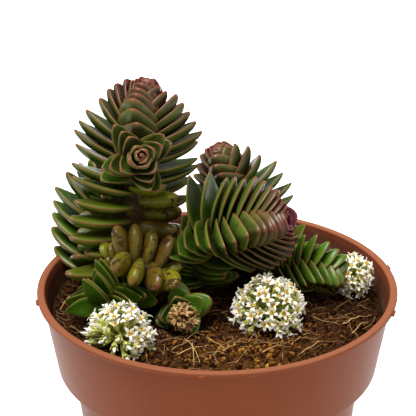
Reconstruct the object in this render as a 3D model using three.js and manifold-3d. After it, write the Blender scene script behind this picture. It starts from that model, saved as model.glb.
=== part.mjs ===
// A potted starburst crassula: a clump of succulent stems with four ranks of stacked triangular leaves,
// three round heads of small white flowers and one dried head, growing in coir in a brown nursery pot.
// Units are millimetres. The origin is the middle of the pot's foot, +Z is up, and -Y is the side seen first.
import * as THREE from "three";
import { mergeVertices } from "three/addons/utils/BufferGeometryUtils.js";
import Module from "manifold-3d";

const wasm = await Module();
wasm.setup();

// Pot: a 14 cm nursery pot with a deep collar over a narrower body
const RIM_RADIUS = 70;
const RIM_HEIGHT = 108;
const RIM_WIDTH = 2.75;
const RIM_DEPTH = 1.7;
const COLLAR_TOP_RADIUS = 68;
const COLLAR_FOOT_RADIUS = 63.2;
const COLLAR_HEIGHT = 32.2;
const BODY_TOP_RADIUS = 57.4;
const FOOT_RADIUS = 49;
const FOOT_RING_WIDTH = 6;
const FOOT_LIFT = 1.5;
const WALL = 1.4;
const POT_SIDES = 36;
const DRAIN_HOLES = 6;
const DRAIN_RADIUS = 4;
const DRAIN_CIRCLE = 28;

// Soil
const SOIL_DEPTH = 9.5;
const SOIL_SIDES = 32;
const SOIL_RINGS = 6;
const CLEARANCE = 0.35;
const SMALLEST_STEP = 0.03;

// Leaf forms: where along a leaf its sections lie, how wide and deep it is there, and the section's outline
const FLAT = {
  stations: [0.45, 0.78],
  widths: [1, 0.66],
  depths: [1, 0.8],
  section: [[-1, 0.4], [0, -0.6], [1, 0.4]],
};
const SWOLLEN = {
  stations: [0.3, 0.84],
  widths: [0.95, 0.8],
  depths: [1, 0.85],
  section: [[-1, 0.1], [-0.55, -0.45], [0.55, -0.45], [1, 0.1], [0, 0.5]],
};
const LEAF_ROOT = -0.15;

const rad = (degrees) => (degrees * Math.PI) / 180;
const vec = (x, y, z) => new THREE.Vector3(x, y, z);
const clamp = (x, low, high) => Math.min(high, Math.max(low, x));

// A repeatable draw from 0 to 1 for each whole number
function draw(k) {
  const s = Math.sin(k * 12.9898 + 78.233) * 43758.5453;
  return s - Math.floor(s);
}

function solidOf(points, faces) {
  const geometry = new THREE.BufferGeometry();
  geometry.setAttribute("position", new THREE.Float32BufferAttribute(points.flatMap((p) => [p.x, p.y, p.z]), 3));
  geometry.setIndex(faces.flat());
  return solidFrom(geometry);
}

function solidFrom(geometry) {
  const plain = geometry.clone();
  plain.deleteAttribute("normal");
  plain.deleteAttribute("uv");
  const merged = mergeVertices(plain, 1e-4);
  return new wasm.Manifold(
    new wasm.Mesh({
      numProp: 3,
      vertProperties: new Float32Array(merged.attributes.position.array),
      triVerts: new Uint32Array(merged.index.array),
    }),
  );
}

// Largest body of a solid: a cut can leave loose scraps
function mainBody(solid) {
  const bodies = solid.decompose();
  return bodies.reduce((best, body) => (body.volume() > best.volume() ? body : best));
}

function meshOf(name, solid, color, roughness) {
  const m = solid.getMesh();
  const geometry = new THREE.BufferGeometry();
  const position = new Float32Array(m.numVert * 3);
  for (let i = 0; i < m.numVert; i++) {
    position.set(m.vertProperties.subarray(i * m.numProp, i * m.numProp + 3), i * 3);
  }
  geometry.setAttribute("position", new THREE.BufferAttribute(position, 3));
  geometry.setIndex(new THREE.BufferAttribute(m.triVerts, 1));
  geometry.computeVertexNormals();
  const mesh = new THREE.Mesh(geometry, new THREE.MeshStandardMaterial({ color, roughness, metalness: 0 }));
  mesh.name = name;
  return mesh;
}

// A closed skin over rings of points, all of one count, that ends in flat faces or in the points given
function loft(rings, tip, root) {
  const n = rings[0].length;
  const points = rings.flat();
  const faces = [];
  for (let r = 0; r + 1 < rings.length; r++) {
    for (let i = 0; i < n; i++) {
      const a = r * n + i;
      const b = r * n + ((i + 1) % n);
      faces.push([a, b, b + n], [a, b + n, a + n]);
    }
  }
  const last = (rings.length - 1) * n;
  if (root) {
    points.push(root);
    for (let i = 0; i < n; i++) faces.push([(i + 1) % n, i, points.length - 1]);
  } else {
    for (let i = 1; i < n - 1; i++) faces.push([0, i + 1, i]);
  }
  if (tip) {
    points.push(tip);
    for (let i = 0; i < n; i++) faces.push([last + i, last + ((i + 1) % n), points.length - 1]);
  } else {
    for (let i = 1; i < n - 1; i++) faces.push([last, last + i, last + i + 1]);
  }
  return solidOf(points, faces);
}

// Pot
function wallRadius(z) {
  const collarFoot = RIM_HEIGHT - COLLAR_HEIGHT;
  if (z > collarFoot) {
    const share = (z - collarFoot) / COLLAR_HEIGHT;
    return COLLAR_FOOT_RADIUS + (COLLAR_TOP_RADIUS - COLLAR_FOOT_RADIUS) * share - WALL;
  }
  return FOOT_RADIUS + ((BODY_TOP_RADIUS - FOOT_RADIUS) * z) / collarFoot - WALL;
}

function pot() {
  const collarFoot = RIM_HEIGHT - COLLAR_HEIGHT;
  const under = RIM_HEIGHT - RIM_DEPTH;
  const floor = FOOT_LIFT + WALL;
  const profile = [
    [0, FOOT_LIFT],
    [FOOT_RADIUS - FOOT_RING_WIDTH, FOOT_LIFT],
    [FOOT_RADIUS - FOOT_RING_WIDTH + 1, 0],
    [FOOT_RADIUS - 1, 0],
    [FOOT_RADIUS, 1],
    [BODY_TOP_RADIUS, collarFoot - 1],
    [COLLAR_FOOT_RADIUS - 1.5, collarFoot - 0.6],
    [COLLAR_FOOT_RADIUS, collarFoot + 1],
    [COLLAR_TOP_RADIUS, under - 0.4],
    [RIM_RADIUS - 0.4, under],
    [RIM_RADIUS, under + 0.6],
    [RIM_RADIUS - 0.5, RIM_HEIGHT],
    [RIM_RADIUS - RIM_WIDTH, RIM_HEIGHT],
    [wallRadius(under - 1), under - 1],
    [wallRadius(collarFoot + 2), collarFoot + 2],
    [wallRadius(collarFoot), collarFoot + WALL - 1],
    [FOOT_RADIUS - WALL, floor + 1],
    [0, floor],
  ];
  const outline = profile.map(([r, z]) => new THREE.Vector2(r, z));
  let solid = solidFrom(new THREE.LatheGeometry(outline, POT_SIDES).rotateX(Math.PI / 2));
  const holeDepth = 4 * WALL;
  for (let i = 0; i < DRAIN_HOLES; i++) {
    const angle = (i * 2 * Math.PI) / DRAIN_HOLES;
    const hole = new THREE.CylinderGeometry(DRAIN_RADIUS, DRAIN_RADIUS, holeDepth, 8).rotateX(Math.PI / 2);
    hole.translate(DRAIN_CIRCLE * Math.cos(angle), DRAIN_CIRCLE * Math.sin(angle), FOOT_LIFT);
    solid = solid.subtract(solidFrom(hole));
  }
  // Moulding nibs on the rim
  for (const degrees of [12, -20, -94, -167]) {
    const nib = new THREE.BoxGeometry(1.8, 3.2, 1.1);
    nib.translate(RIM_RADIUS - 0.2, 0, under + 0.6).rotateZ(rad(degrees));
    solid = solid.add(solidFrom(nib));
  }
  return solid;
}

// Height of the soil's surface: it lies low at the left and right walls, and is heaped towards the front
function soilHeight(x, y) {
  const level = RIM_HEIGHT - SOIL_DEPTH;
  const heap = 6 * Math.exp(-((x - 8) ** 2 / 1500 + (y + 52) ** 2 / 500));
  const right = 3 * Math.exp(-((x - 45) ** 2 / 300 + (y + 20) ** 2 / 300));
  const crumbs = 0.7 * Math.sin(x * 0.55 + 2 * Math.sin(y * 0.31)) * Math.cos(y * 0.6 + 1.5 * Math.sin(x * 0.27));
  return level + heap + right + crumbs;
}

function soil() {
  const points = [];
  const faces = [];
  const collarFoot = RIM_HEIGHT - COLLAR_HEIGHT;
  const spare = CLEARANCE + 0.4;
  const edge = wallRadius(RIM_HEIGHT - SOIL_DEPTH) - spare;
  const sides = [
    [wallRadius(collarFoot + 2) - spare, collarFoot + 2.7],
    [wallRadius(collarFoot) - spare, collarFoot + 1.2],
    [FOOT_RADIUS - WALL - spare, FOOT_LIFT + WALL + 1.7],
  ];
  const around = (i) => (i * 2 * Math.PI) / SOIL_SIDES;
  points.push(vec(0, 0, soilHeight(0, 0)));
  for (let r = 1; r <= SOIL_RINGS; r++) {
    for (let i = 0; i < SOIL_SIDES; i++) {
      const x = ((edge * r) / SOIL_RINGS) * Math.cos(around(i));
      const y = ((edge * r) / SOIL_RINGS) * Math.sin(around(i));
      points.push(vec(x, y, soilHeight(x, y)));
    }
  }
  for (const [r, z] of sides) {
    for (let i = 0; i < SOIL_SIDES; i++) points.push(vec(r * Math.cos(around(i)), r * Math.sin(around(i)), z));
  }
  points.push(vec(0, 0, sides[2][1]));
  const rings = SOIL_RINGS + sides.length;
  for (let i = 0; i < SOIL_SIDES; i++) {
    const next = (i + 1) % SOIL_SIDES;
    faces.push([0, 1 + i, 1 + next]);
    for (let r = 0; r + 1 < rings; r++) {
      const a = 1 + r * SOIL_SIDES;
      faces.push([a + i, a + SOIL_SIDES + i, a + SOIL_SIDES + next], [a + i, a + SOIL_SIDES + next, a + next]);
    }
    const last = 1 + (rings - 1) * SOIL_SIDES;
    faces.push([last + i, points.length - 1, last + next]);
  }
  return solidOf(points, faces);
}

// Growth habits. bud: share of their full angle at which the youngest leaves stand. unfold: when leaves open, in
// leaf lengths below the tip, and how suddenly. sprout: share of full length of the youngest leaves. lengthen: when
// they reach it, and how suddenly. curl: how much farther the youngest leaves bend inwards, down to CURL_REACH.
const HABITS = {
  loose: { bud: 0.112, unfold: 0.42, unfoldPower: 1, sprout: 0.375, lengthen: 0.283, lengthenPower: 1, curl: 0 },
  domed: { bud: 0.2, unfold: 0.36, unfoldPower: 1.8, sprout: 0.44, lengthen: 0.45, lengthenPower: 1.3, curl: 20 },
  starry: { bud: 0.1, unfold: 0.4, unfoldPower: 1.3, sprout: 0.42, lengthen: 0.4, lengthenPower: 1, curl: 8 },
};
const CURL_REACH = 0.35;

// Where the youngest pair stands below the tip, in leaf lengths, and how fast the pairs draw apart below it
const FIRST_PAIR = 0.04;
const SPREADING = 2.6;

// Old leaves ripen, then settle: how fast with age, and how late it starts
const RIPENING = [3.2, 0.7];
const SETTLING = [2.6, 0.9];

// A leaf that has grown old and short swells: how fast, how much narrower and deeper it is then
const SWELLING = 3.5;
const SWOLLEN_BELOW = 0.8;
const SWOLLEN_NARROWER = 0.35;
const SWOLLEN_DEEPER = 0.85;

// How irregularly leaves stand, in degrees: any leaf, and how much more one that is old and swollen
const TURN_PLAY = [6, 44];
const OPEN_PLAY = [1.2, 12];
const FAT_PLAY = 0.15;
const SHORTEST = 0.95;
const LENGTH_PLAY = 0.1;
const THINNEST_LEAF = 0.8;

// Stems. path: points of the stem from root to growing point. reach: length of its full-grown leaves.
// pitch: distance between leaf pairs at the tip and farther down. bare: length of stem below the leaves.
// open: angle between a full-grown leaf and the stem's tip. arch: how far a leaf curls towards the tip.
// facing: where turns are counted from, otherwise the front, or above on lying stems. turn: of the youngest pair.
// twist: how far the pairs turn from the tip to the oldest. old: share of length left in each rank's oldest.
// loosen: how much farther apart the old pairs stand. droop: how much farther old leaves have opened.
// plump: how fast leaves swell as they shorten. pushed: how far each rank's oldest are pushed round the stem by a
// side head. slim: how much narrower the oldest are.
// width, depth: of full-grown leaves. core: radius of the stem. fat: all leaves swollen, ripe: older by this.
const STEMS = {
  stem_main: {
    path: [[-39, 2, 92], [-36, 4, 112], [-32.5, 8, 140], [-29.5, 11.5, 162], [-28, 12, 174]], habit: "domed",
    reach: 31.5, pitch: [0.8, 2.3], bare: 19, open: 84, arch: 26, turn: -45, twist: 100, loosen: 0.4, droop: 20,
    old: [0.64, 0.8, 0.9, 0.92], plump: 7, pushed: [46, 0, 0, 0], slim: 0.3, width: 16, depth: 3.8, core: 6.4,
  },
  stem_front_rosette: {
    path: [[-31, 1, 155], [-30.2, -6, 160.5], [-28.8, -13, 164.5]], habit: "starry",
    reach: 21, pitch: [0.8, 1.7], bare: 4, open: 98, arch: 30, turn: 36, twist: -24,
    old: [1, 1, 1, 1], width: 12.5, depth: 2.2, core: 4.5,
  },
  stem_right_plume: {
    path: [[-7, 12, 96], [-7.5, 9, 110], [-7, 4, 120], [-3.5, 0, 127.5], [4, -4, 131.5], [11, -6, 134], [17, -8, 136]],
    facing: [-0.7, 0, 0.7],
    reach: 27, pitch: [0.9, 2.1], bare: 8, open: 86, arch: 26, turn: -22, twist: 0,
    old: [0.95, 0.85, 0.7, 0.8], width: 15, depth: 3.1, core: 6.5,
  },
  stem_back_right: {
    path: [[12, 31, 92], [11.5, 33, 112], [8.3, 34, 130], [3.3, 33.8, 142.8]], habit: "domed",
    reach: 25.5, pitch: [1, 2.6], bare: 12, open: 82, arch: 26, turn: -24, twist: 40,
    old: [0.85, 1, 0.8, 0.85], width: 14, depth: 3.2, core: 6.5,
  },
  stem_back_left: {
    path: [[-47, 20, 92], [-48.5, 22, 108], [-48, 24, 124], [-45, 25, 138.5]],
    reach: 24, pitch: [1.2, 3.2], bare: 8, open: 88, arch: 18, turn: 10, twist: -30, droop: -16,
    old: [0.95, 0.95, 0.95, 0.95], width: 14, depth: 4, core: 6.5,
  },
  stem_front_left: {
    path: [[-31, -1, 94], [-33, -6, 105], [-37, -12, 109.5], [-43, -22, 109]],
    reach: 18, pitch: [1.5, 1.8], bare: 11, open: 92, arch: 12, turn: 4, twist: 8,
    old: [1, 1, 1, 1], width: 9.8, depth: 2.8, core: 4, ripe: 0.5,
  },
  stem_small_front: {
    path: [[-13, -12, 94], [-12.5, -16, 102], [-12.5, -21, 106.5], [-12.8, -26, 107.5]],
    reach: 13, pitch: [1.6, 2.4], bare: 8, open: 92, arch: 14, turn: 15, twist: 20,
    old: [1, 1, 1, 1], width: 9.5, depth: 2.6, core: 3,
  },
  stem_old_middle: {
    path: [[-20, -8, 94], [-20.5, -11, 109], [-24, -13.5, 119], [-32, -14.5, 123], [-41, -12, 123]],
    reach: 15.5, pitch: [2.7, 2.7], bare: 10, open: 92, arch: 8, turn: 12, twist: 0,
    old: [1, 1, 1, 1], width: 8.2, depth: 5.8, core: 3.6, fat: true, ripe: 0.4,
  },
  stem_low_right: {
    path: [[22, 11, 94], [25, 9, 106], [34, 6.5, 111], [43.5, 5, 110]],
    reach: 18, pitch: [1.6, 2.1], bare: 8, open: 84, arch: 20, turn: 0, twist: 10,
    old: [1, 1, 1, 1], width: 11.5, depth: 2.6, core: 4,
  },
  stem_back_small: {
    path: [[27, 36, 94], [27.5, 35, 105], [28, 33.5, 115]],
    reach: 13, pitch: [1.5, 2.5], bare: 9, open: 84, arch: 20, turn: 20, twist: 20,
    old: [1, 1, 1, 1], width: 9, depth: 2.4, core: 3.5,
  },
};

// Points and frames along a stem, by distance from its root
function stemFrames(stem) {
  const curve = new THREE.CatmullRomCurve3(stem.path.map((p) => vec(...p)), false, "centripetal");
  const whole = curve.getLength();
  const rise = vec(...stem.path.at(-1)).sub(vec(...stem.path[0])).normalize().z;
  const reference = vec(...(stem.facing ?? (rise > 0.85 ? [0, -1, 0] : [0, 0, 1])));
  const at = (run) => {
    const place = curve.getPointAt(clamp(run / whole, 0, 1));
    const along = curve.getTangentAt(clamp(run / whole, 0, 1)).normalize();
    const front = reference.clone().addScaledVector(along, -reference.dot(along)).normalize();
    return { place, along, front, side: along.clone().cross(front) };
  };
  const leafy = whole - stem.bare;
  const turned = (below) => stem.turn + stem.twist * (1 - Math.exp((-1.25 * below) / stem.reach));
  return { whole, leafy, at, turned };
}

// Every leaf of a stem: its root, its outward and stem directions and its sizes
function leavesOf(stem, seed) {
  const { whole, leafy, at, turned } = stemFrames(stem);
  const habit = HABITS[stem.habit ?? "loose"];
  const leaves = [];
  let below = FIRST_PAIR * stem.reach;
  for (let pair = 0; below < leafy; pair++) {
    const { place, along, front, side } = at(whole - below);
    const grown = below / stem.reach + (stem.ripe ?? 0);
    const age = below / leafy;
    const unfolding = (grown / habit.unfold) ** habit.unfoldPower;
    const growing = (grown / habit.lengthen) ** habit.lengthenPower;
    const ripeness = clamp(RIPENING[0] * age - RIPENING[1], 0, 1);
    const settled = clamp(SETTLING[0] * age - SETTLING[1], 0, 1);
    const open = stem.open * (1 - (1 - habit.bud) * Math.exp(-unfolding)) + (stem.droop ?? 0) * settled;
    const share = 1 - (1 - habit.sprout) * Math.exp(-growing);
    const spread = stem.pitch[0] + (stem.pitch[1] - stem.pitch[0]) * (1 - Math.exp(-SPREADING * grown));
    const step = spread * (1 + (stem.loosen ?? 0) * settled);
    const gap = 2 * Math.max(step, 0.5 / Math.sin(rad(Math.max(open, 18))));
    for (const half of [0, 1]) {
      const key = seed * 1000 + pair * 2 + half;
      const rank = (pair % 2) + 2 * half;
      const old = 1 - (1 - stem.old[rank]) * ripeness;
      const swell = stem.fat ? 1 : clamp((stem.plump ?? SWELLING) * (SWOLLEN_BELOW - old), 0, 1);
      const narrower = stem.fat ? 1 : 1 - SWOLLEN_NARROWER * swell;
      const deeper = stem.fat ? 1 : 1 + SWOLLEN_DEEPER * swell;
      const pushed = (stem.pushed?.[rank] ?? 0) * settled;
      const turnPlay = TURN_PLAY[0] + (stem.fat ? FAT_PLAY : swell) * TURN_PLAY[1];
      const openPlay = OPEN_PLAY[0] + swell * OPEN_PLAY[1];
      const spin = turned(below) + 90 * (pair % 2) + 180 * half + pushed + turnPlay * (draw(key) - 0.5);
      const width = stem.width * (1 - (stem.slim ?? 0) * settled);
      const length = stem.reach * share * old * (SHORTEST + LENGTH_PLAY * draw(key + 0.3));
      leaves.push({
        root: place,
        along,
        out: front.clone().multiplyScalar(Math.cos(rad(spin))).addScaledVector(side, Math.sin(rad(spin))),
        length,
        width: Math.min(width, 1.05 * length * Math.sin(rad(open)) + 1.2) * narrower,
        depth: clamp(0.8 * gap * Math.sin(rad(open)), THINNEST_LEAF, stem.depth * deeper),
        open: rad(open + openPlay * (draw(key + 0.6) - 0.5)),
        arch: rad(stem.arch * Math.min(1, 0.4 + grown) + habit.curl * Math.exp(-((grown / CURL_REACH) ** 2))),
        swell,
      });
    }
    below += gap / 2;
  }
  return leaves;
}

// A point of a leaf's midrib, its heading there and where its upper face looks
function midrib(leaf, share) {
  const steps = 6;
  const place = leaf.root.clone();
  let angle = leaf.open;
  for (let i = 0; i < steps; i++) {
    angle = leaf.open - (leaf.arch * share * (i + 0.5)) / steps;
    const step = (leaf.length * share) / steps;
    place.addScaledVector(leaf.along, Math.cos(angle) * step).addScaledVector(leaf.out, Math.sin(angle) * step);
  }
  const heading = leaf.along.clone().multiplyScalar(Math.cos(angle)).addScaledVector(leaf.out, Math.sin(angle));
  const upper = leaf.along.clone().multiplyScalar(Math.sin(angle)).addScaledVector(leaf.out, -Math.cos(angle));
  return { place, heading, upper };
}

// A leaf is flat above, keeled below and pointed; a swollen old one is round and blunt
function leafSolid(leaf, grow) {
  const across = leaf.along.clone().cross(leaf.out);
  const form = leaf.swell > 0.6 ? SWOLLEN : FLAT;
  const rings = form.stations.map((share, i) => {
    const { place, upper } = midrib(leaf, share);
    const half = (leaf.width * form.widths[i]) / 2 + 3.5 * grow;
    const depth = leaf.depth * form.depths[i] + 4 * grow;
    return form.section.map(([x, y]) =>
      place.clone().addScaledVector(across, half * x).addScaledVector(upper, depth * y),
    );
  });
  const root = midrib(leaf, LEAF_ROOT);
  const tip = midrib(leaf, 1);
  root.place.addScaledVector(root.heading, -3 * grow);
  tip.place.addScaledVector(tip.heading, 3 * grow);
  return loft(rings, tip.place, root.place);
}

// The stem inside the leaves, four-sided like their ranks, with a bud at its end
function coreSolid(stem, grow) {
  const { whole, at, turned } = stemFrames(stem);
  const budFoot = whole - 0.3 * stem.reach;
  const sections = [0, 0.25, 0.5, 0.75, 1].map((share) => [share * budFoot, stem.core * (share ? 1 : 0.6)]);
  sections.push([whole, 0.65 * stem.core]);
  const rings = sections.map(([run, radius]) => {
    const { place, along, front, side } = at(run);
    if (run === 0) place.addScaledVector(along, -grow);
    return [45, 135, 225, 315].map((corner) => {
      const angle = rad(turned(whole - run) + corner);
      const reach = 1.22 * (radius + grow);
      return place.clone().addScaledVector(front, reach * Math.cos(angle)).addScaledVector(side, reach * Math.sin(angle));
    });
  });
  const end = at(whole);
  return loft(rings, end.place.clone().addScaledVector(end.along, 0.25 * stem.reach + 3 * grow));
}

// True where a leaf stays over the soil and inside the pot's wall
function clears(leaf) {
  return [0.5, 0.8, 1].every((share) => {
    const { place } = midrib(leaf, share);
    const outside = Math.hypot(place.x, place.y);
    const above = place.z - soilHeight(place.x, place.y);
    const spare = share === 1 ? 0.8 : 0.6 * leaf.depth + 0.6;
    const inPot = place.z > RIM_HEIGHT + 3 || outside < wallRadius(Math.min(place.z, RIM_HEIGHT)) - 2.5;
    return above > spare && inPot && outside < RIM_RADIUS + 6;
  });
}

// A leaf that would reach into the soil, the wall or another stem grows shorter, or not at all
function fitted(leaf, others) {
  for (const share of [1, 0.88, 0.76, 0.64, 0.52, 0.4]) {
    const tried = { ...leaf, length: leaf.length * share };
    if (clears(tried) && others.every((other) => leafSolid(tried, 0).intersect(other).isEmpty())) return tried;
  }
  return null;
}

function stemSolid(stem, leaves, grow) {
  return wasm.Manifold.union([coreSolid(stem, grow), ...leaves.map((leaf) => leafSolid(leaf, grow))]);
}

// Flower heads. axis: where the head faces. spread: how far round from the axis florets reach. stalk: its lower end
const FLOWERS = {
  flowers_front_right: {
    centre: [19.3, -21.5, 106.5], radius: 14.5, axis: [0.15, -0.6, 0.8], florets: 26, spread: 140, petal: 4.6,
    stalk: [10, -9, 94],
  },
  flowers_front_left: {
    centre: [-35.5, -39.8, 105.3], radius: 13.5, axis: [0.5, 0.3, 0.8], florets: 17, spread: 105, petal: 4.5,
    stalk: [-41.5, -24, 107.5],
  },
  flowers_right: {
    centre: [53.5, 7, 107], radius: 9.3, axis: [0.6, -0.4, 0.6], florets: 16, spread: 140, petal: 3.6,
    stalk: [44, 5.5, 109.5],
  },
  flowers_dried: {
    centre: [-12.8, -30, 108.5], radius: 5.5, axis: [0.1, -0.7, 0.7], florets: 8, spread: 100, petal: 2.4,
    stalk: [-12.8, -25, 107.3],
  },
};

const CORE_SHARE = 0.76;

function sphereFrame(axis) {
  const up = vec(...axis).normalize();
  const side = vec(0, 0, 1).cross(up).normalize();
  return { up, side, front: up.clone().cross(side) };
}

// Directions evenly spread over the part of a sphere that the florets cover
function floretDirections(flower) {
  const { up, side, front } = sphereFrame(flower.axis);
  const low = Math.cos(rad(flower.spread));
  return Array.from({ length: flower.florets }, (_, i) => {
    const height = 1 - ((i + 0.5) / flower.florets) * (1 - low);
    const ring = Math.sqrt(1 - height * height);
    const angle = i * Math.PI * (3 - Math.sqrt(5));
    return up
      .clone()
      .multiplyScalar(height)
      .addScaledVector(side, ring * Math.cos(angle))
      .addScaledVector(front, ring * Math.sin(angle));
  });
}

// One floret: a five-pointed star on a tapering tube that roots in the head's core
function floretSolid(flower, direction, grow, key) {
  const centre = vec(...flower.centre);
  const { side, front } = sphereFrame(direction.toArray());
  const reach = flower.radius * (0.94 + 0.1 * draw(key));
  const star = Array.from({ length: 10 }, (_, i) => {
    const angle = (i * Math.PI) / 5 + 6.28 * draw(key + 0.5);
    const tip = i % 2 === 0;
    const radius = (tip ? flower.petal : flower.petal * 0.38) + 2 * grow;
    const lift = tip ? reach - 0.25 * flower.petal : reach - 0.6;
    return centre
      .clone()
      .addScaledVector(direction, lift)
      .addScaledVector(side, radius * Math.cos(angle))
      .addScaledVector(front, radius * Math.sin(angle));
  });
  const root = centre.clone().addScaledVector(direction, flower.radius * (CORE_SHARE - 0.4) - 3 * grow);
  const heart = centre.clone().addScaledVector(direction, reach + 2 * grow);
  const faces = [];
  for (let i = 0; i < 10; i++) {
    const next = (i + 1) % 10;
    faces.push([i, next, 11], [next, i, 10]);
  }
  return solidOf([...star, root, heart], faces);
}

// The florets that stay over the soil, inside the wall and clear of the stems
function floretsOf(flower, others) {
  return floretDirections(flower)
    .map((direction, i) => ({ direction, key: i + 0.1 }))
    .filter(({ direction, key }) => {
      const tip = vec(...flower.centre).addScaledVector(direction, flower.radius * 1.05);
      const inPot = tip.z > RIM_HEIGHT + 1 || Math.hypot(tip.x, tip.y) < wallRadius(RIM_HEIGHT - 4) - 1.2;
      const clear = tip.z > soilHeight(tip.x, tip.y) + 1.5 && inPot;
      return clear && others.every((other) => floretSolid(flower, direction, 0, key).intersect(other).isEmpty());
    });
}

function flowerSolid(flower, florets, grow) {
  const core = new THREE.IcosahedronGeometry(flower.radius * CORE_SHARE + 1.4 * grow, 0).translate(...flower.centre);
  const foot = vec(...flower.stalk);
  const head = vec(...flower.centre);
  const run = head.clone().sub(foot);
  const stalk = new THREE.CylinderGeometry(1.5 + 1.4 * grow, 1.7 + 1.4 * grow, run.length() + 2 * grow, 5);
  stalk.applyQuaternion(new THREE.Quaternion().setFromUnitVectors(vec(0, 1, 0), run.clone().normalize()));
  stalk.translate(...foot.clone().add(head).multiplyScalar(0.5).toArray());
  const stars = florets.map(({ direction, key }) => floretSolid(flower, direction, grow, key));
  return wasm.Manifold.union([solidFrom(core), solidFrom(stalk), ...stars]);
}

const LEAF_GREEN = 0x3f5f26;
const OLD_GREEN = 0x7a7a24;
const PETAL_WHITE = 0xf3eede;
const DRIED_BROWN = 0xb08a5e;
const POT_BROWN = 0x96513a;
const SOIL_BROWN = 0x5a3a1c;

const plant = new THREE.Group();
const placed = [];

// Each piece is cut back from the pieces before it, which are grown by the clearance, so that none touch
function place(name, solid, grown, color, roughness) {
  const clear = placed.reduce((rest, other) => rest.subtract(other), solid);
  placed.push(grown);
  plant.add(meshOf(name, mainBody(clear.simplify(SMALLEST_STEP)), color, roughness));
}

plant.add(meshOf("pot", pot(), POT_BROWN, 0.5));

const stems = Object.entries(STEMS);
stems.forEach(([name, stem], i) => {
  const color = name === "stem_old_middle" ? OLD_GREEN : LEAF_GREEN;
  const others = [...placed, ...stems.slice(i + 1).map(([, later]) => coreSolid(later, CLEARANCE))];
  const leaves = leavesOf(stem, i + 1).map((leaf) => fitted(leaf, others)).filter(Boolean);
  place(name, stemSolid(stem, leaves, 0), stemSolid(stem, leaves, CLEARANCE), color, 0.5);
});
Object.entries(FLOWERS).forEach(([name, flower]) => {
  const color = name === "flowers_dried" ? DRIED_BROWN : PETAL_WHITE;
  const florets = floretsOf(flower, placed);
  place(name, flowerSolid(flower, florets, 0), flowerSolid(flower, florets, CLEARANCE), color, 0.7);
});
place("soil", soil(), soil(), SOIL_BROWN, 0.95);

export default plant;
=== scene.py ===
# A potted starburst crassula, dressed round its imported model.
# Its dictionaries hold millimetres and degrees, and the meshes are turned to metres as they are built.
import math

import bmesh
import bpy
import numpy as np
from mathutils import Matrix, Vector, kdtree, noise


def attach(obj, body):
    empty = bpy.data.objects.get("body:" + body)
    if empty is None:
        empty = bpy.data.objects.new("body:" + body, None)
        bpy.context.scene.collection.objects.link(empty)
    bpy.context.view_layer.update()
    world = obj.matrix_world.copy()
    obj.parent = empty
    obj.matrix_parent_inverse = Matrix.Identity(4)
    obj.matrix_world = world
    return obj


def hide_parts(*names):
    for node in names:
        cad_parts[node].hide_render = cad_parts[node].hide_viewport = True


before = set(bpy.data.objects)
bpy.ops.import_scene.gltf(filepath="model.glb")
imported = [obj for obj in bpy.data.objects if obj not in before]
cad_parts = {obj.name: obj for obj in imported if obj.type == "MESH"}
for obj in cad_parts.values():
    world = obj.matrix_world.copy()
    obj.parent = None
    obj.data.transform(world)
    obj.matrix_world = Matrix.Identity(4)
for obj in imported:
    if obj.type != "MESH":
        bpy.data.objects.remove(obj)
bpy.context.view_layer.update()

mm = 0.001


# Camera: fitted to the rim's ellipse, so the lens and the tilt are those of the photograph
camera = {
    "place": (0.0, -446.28, 333.46),
    "heading": (-0.007179, 0.917015, -0.398789),
    "roll": -0.1402,
    "lens": 110.48,
    "sensor": 36.0,
}


def makeCamera():
    heading = Vector(camera["heading"]).normalized()
    right = heading.cross(Vector((0, 0, 1))).normalized()
    up = right.cross(heading)
    roll = math.radians(camera["roll"])
    x = right * math.cos(roll) + up * math.sin(roll)
    y = up * math.cos(roll) - right * math.sin(roll)
    data = bpy.data.cameras.new("camera")
    data.lens = camera["lens"]
    data.sensor_width = camera["sensor"]
    data.clip_start = 0.01
    eye = bpy.data.objects.new("camera", data)
    bpy.context.scene.collection.objects.link(eye)
    turn = Matrix((x, y, -heading)).transposed().to_4x4()
    eye.matrix_world = Matrix.Translation(Vector(camera["place"]) * mm) @ turn
    bpy.context.scene.camera = eye


makeCamera()
print("camera set")


# Helpers that all the pieces share
def draw(key):
    s = math.sin(key * 12.9898 + 78.233) * 43758.5453    # the part's own repeatable draw from 0 to 1
    return s - math.floor(s)


def clamp(x, low=0.0, high=1.0):
    return min(high, max(low, x))


def unit(v):
    return v / np.linalg.norm(v)


def hexColor(text):
    values = [int(text[i:i + 2], 16) / 255 for i in (1, 3, 5)]
    linear = [c / 12.92 if c <= 0.04045 else ((c + 0.055) / 1.055) ** 2.4 for c in values]
    return (*linear, 1.0)


def perSize(size):
    return 1 / (size * mm)    # noise scale that gives features about this many mm apart


def addNode(tree, kind, settings=None, links=None):
    node = tree.nodes.new(kind)
    for name, value in (settings or {}).items():
        if isinstance(name, int) or name in node.inputs:
            node.inputs[name].default_value = value
        else:
            setattr(node, name, value)
    for name, source in (links or {}).items():
        tree.links.new(source, node.inputs[name])
    return node


def startMaterial(name):
    material = bpy.data.materials.new(name)
    material.use_nodes = True
    material.node_tree.nodes.clear()
    return material, material.node_tree


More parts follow.
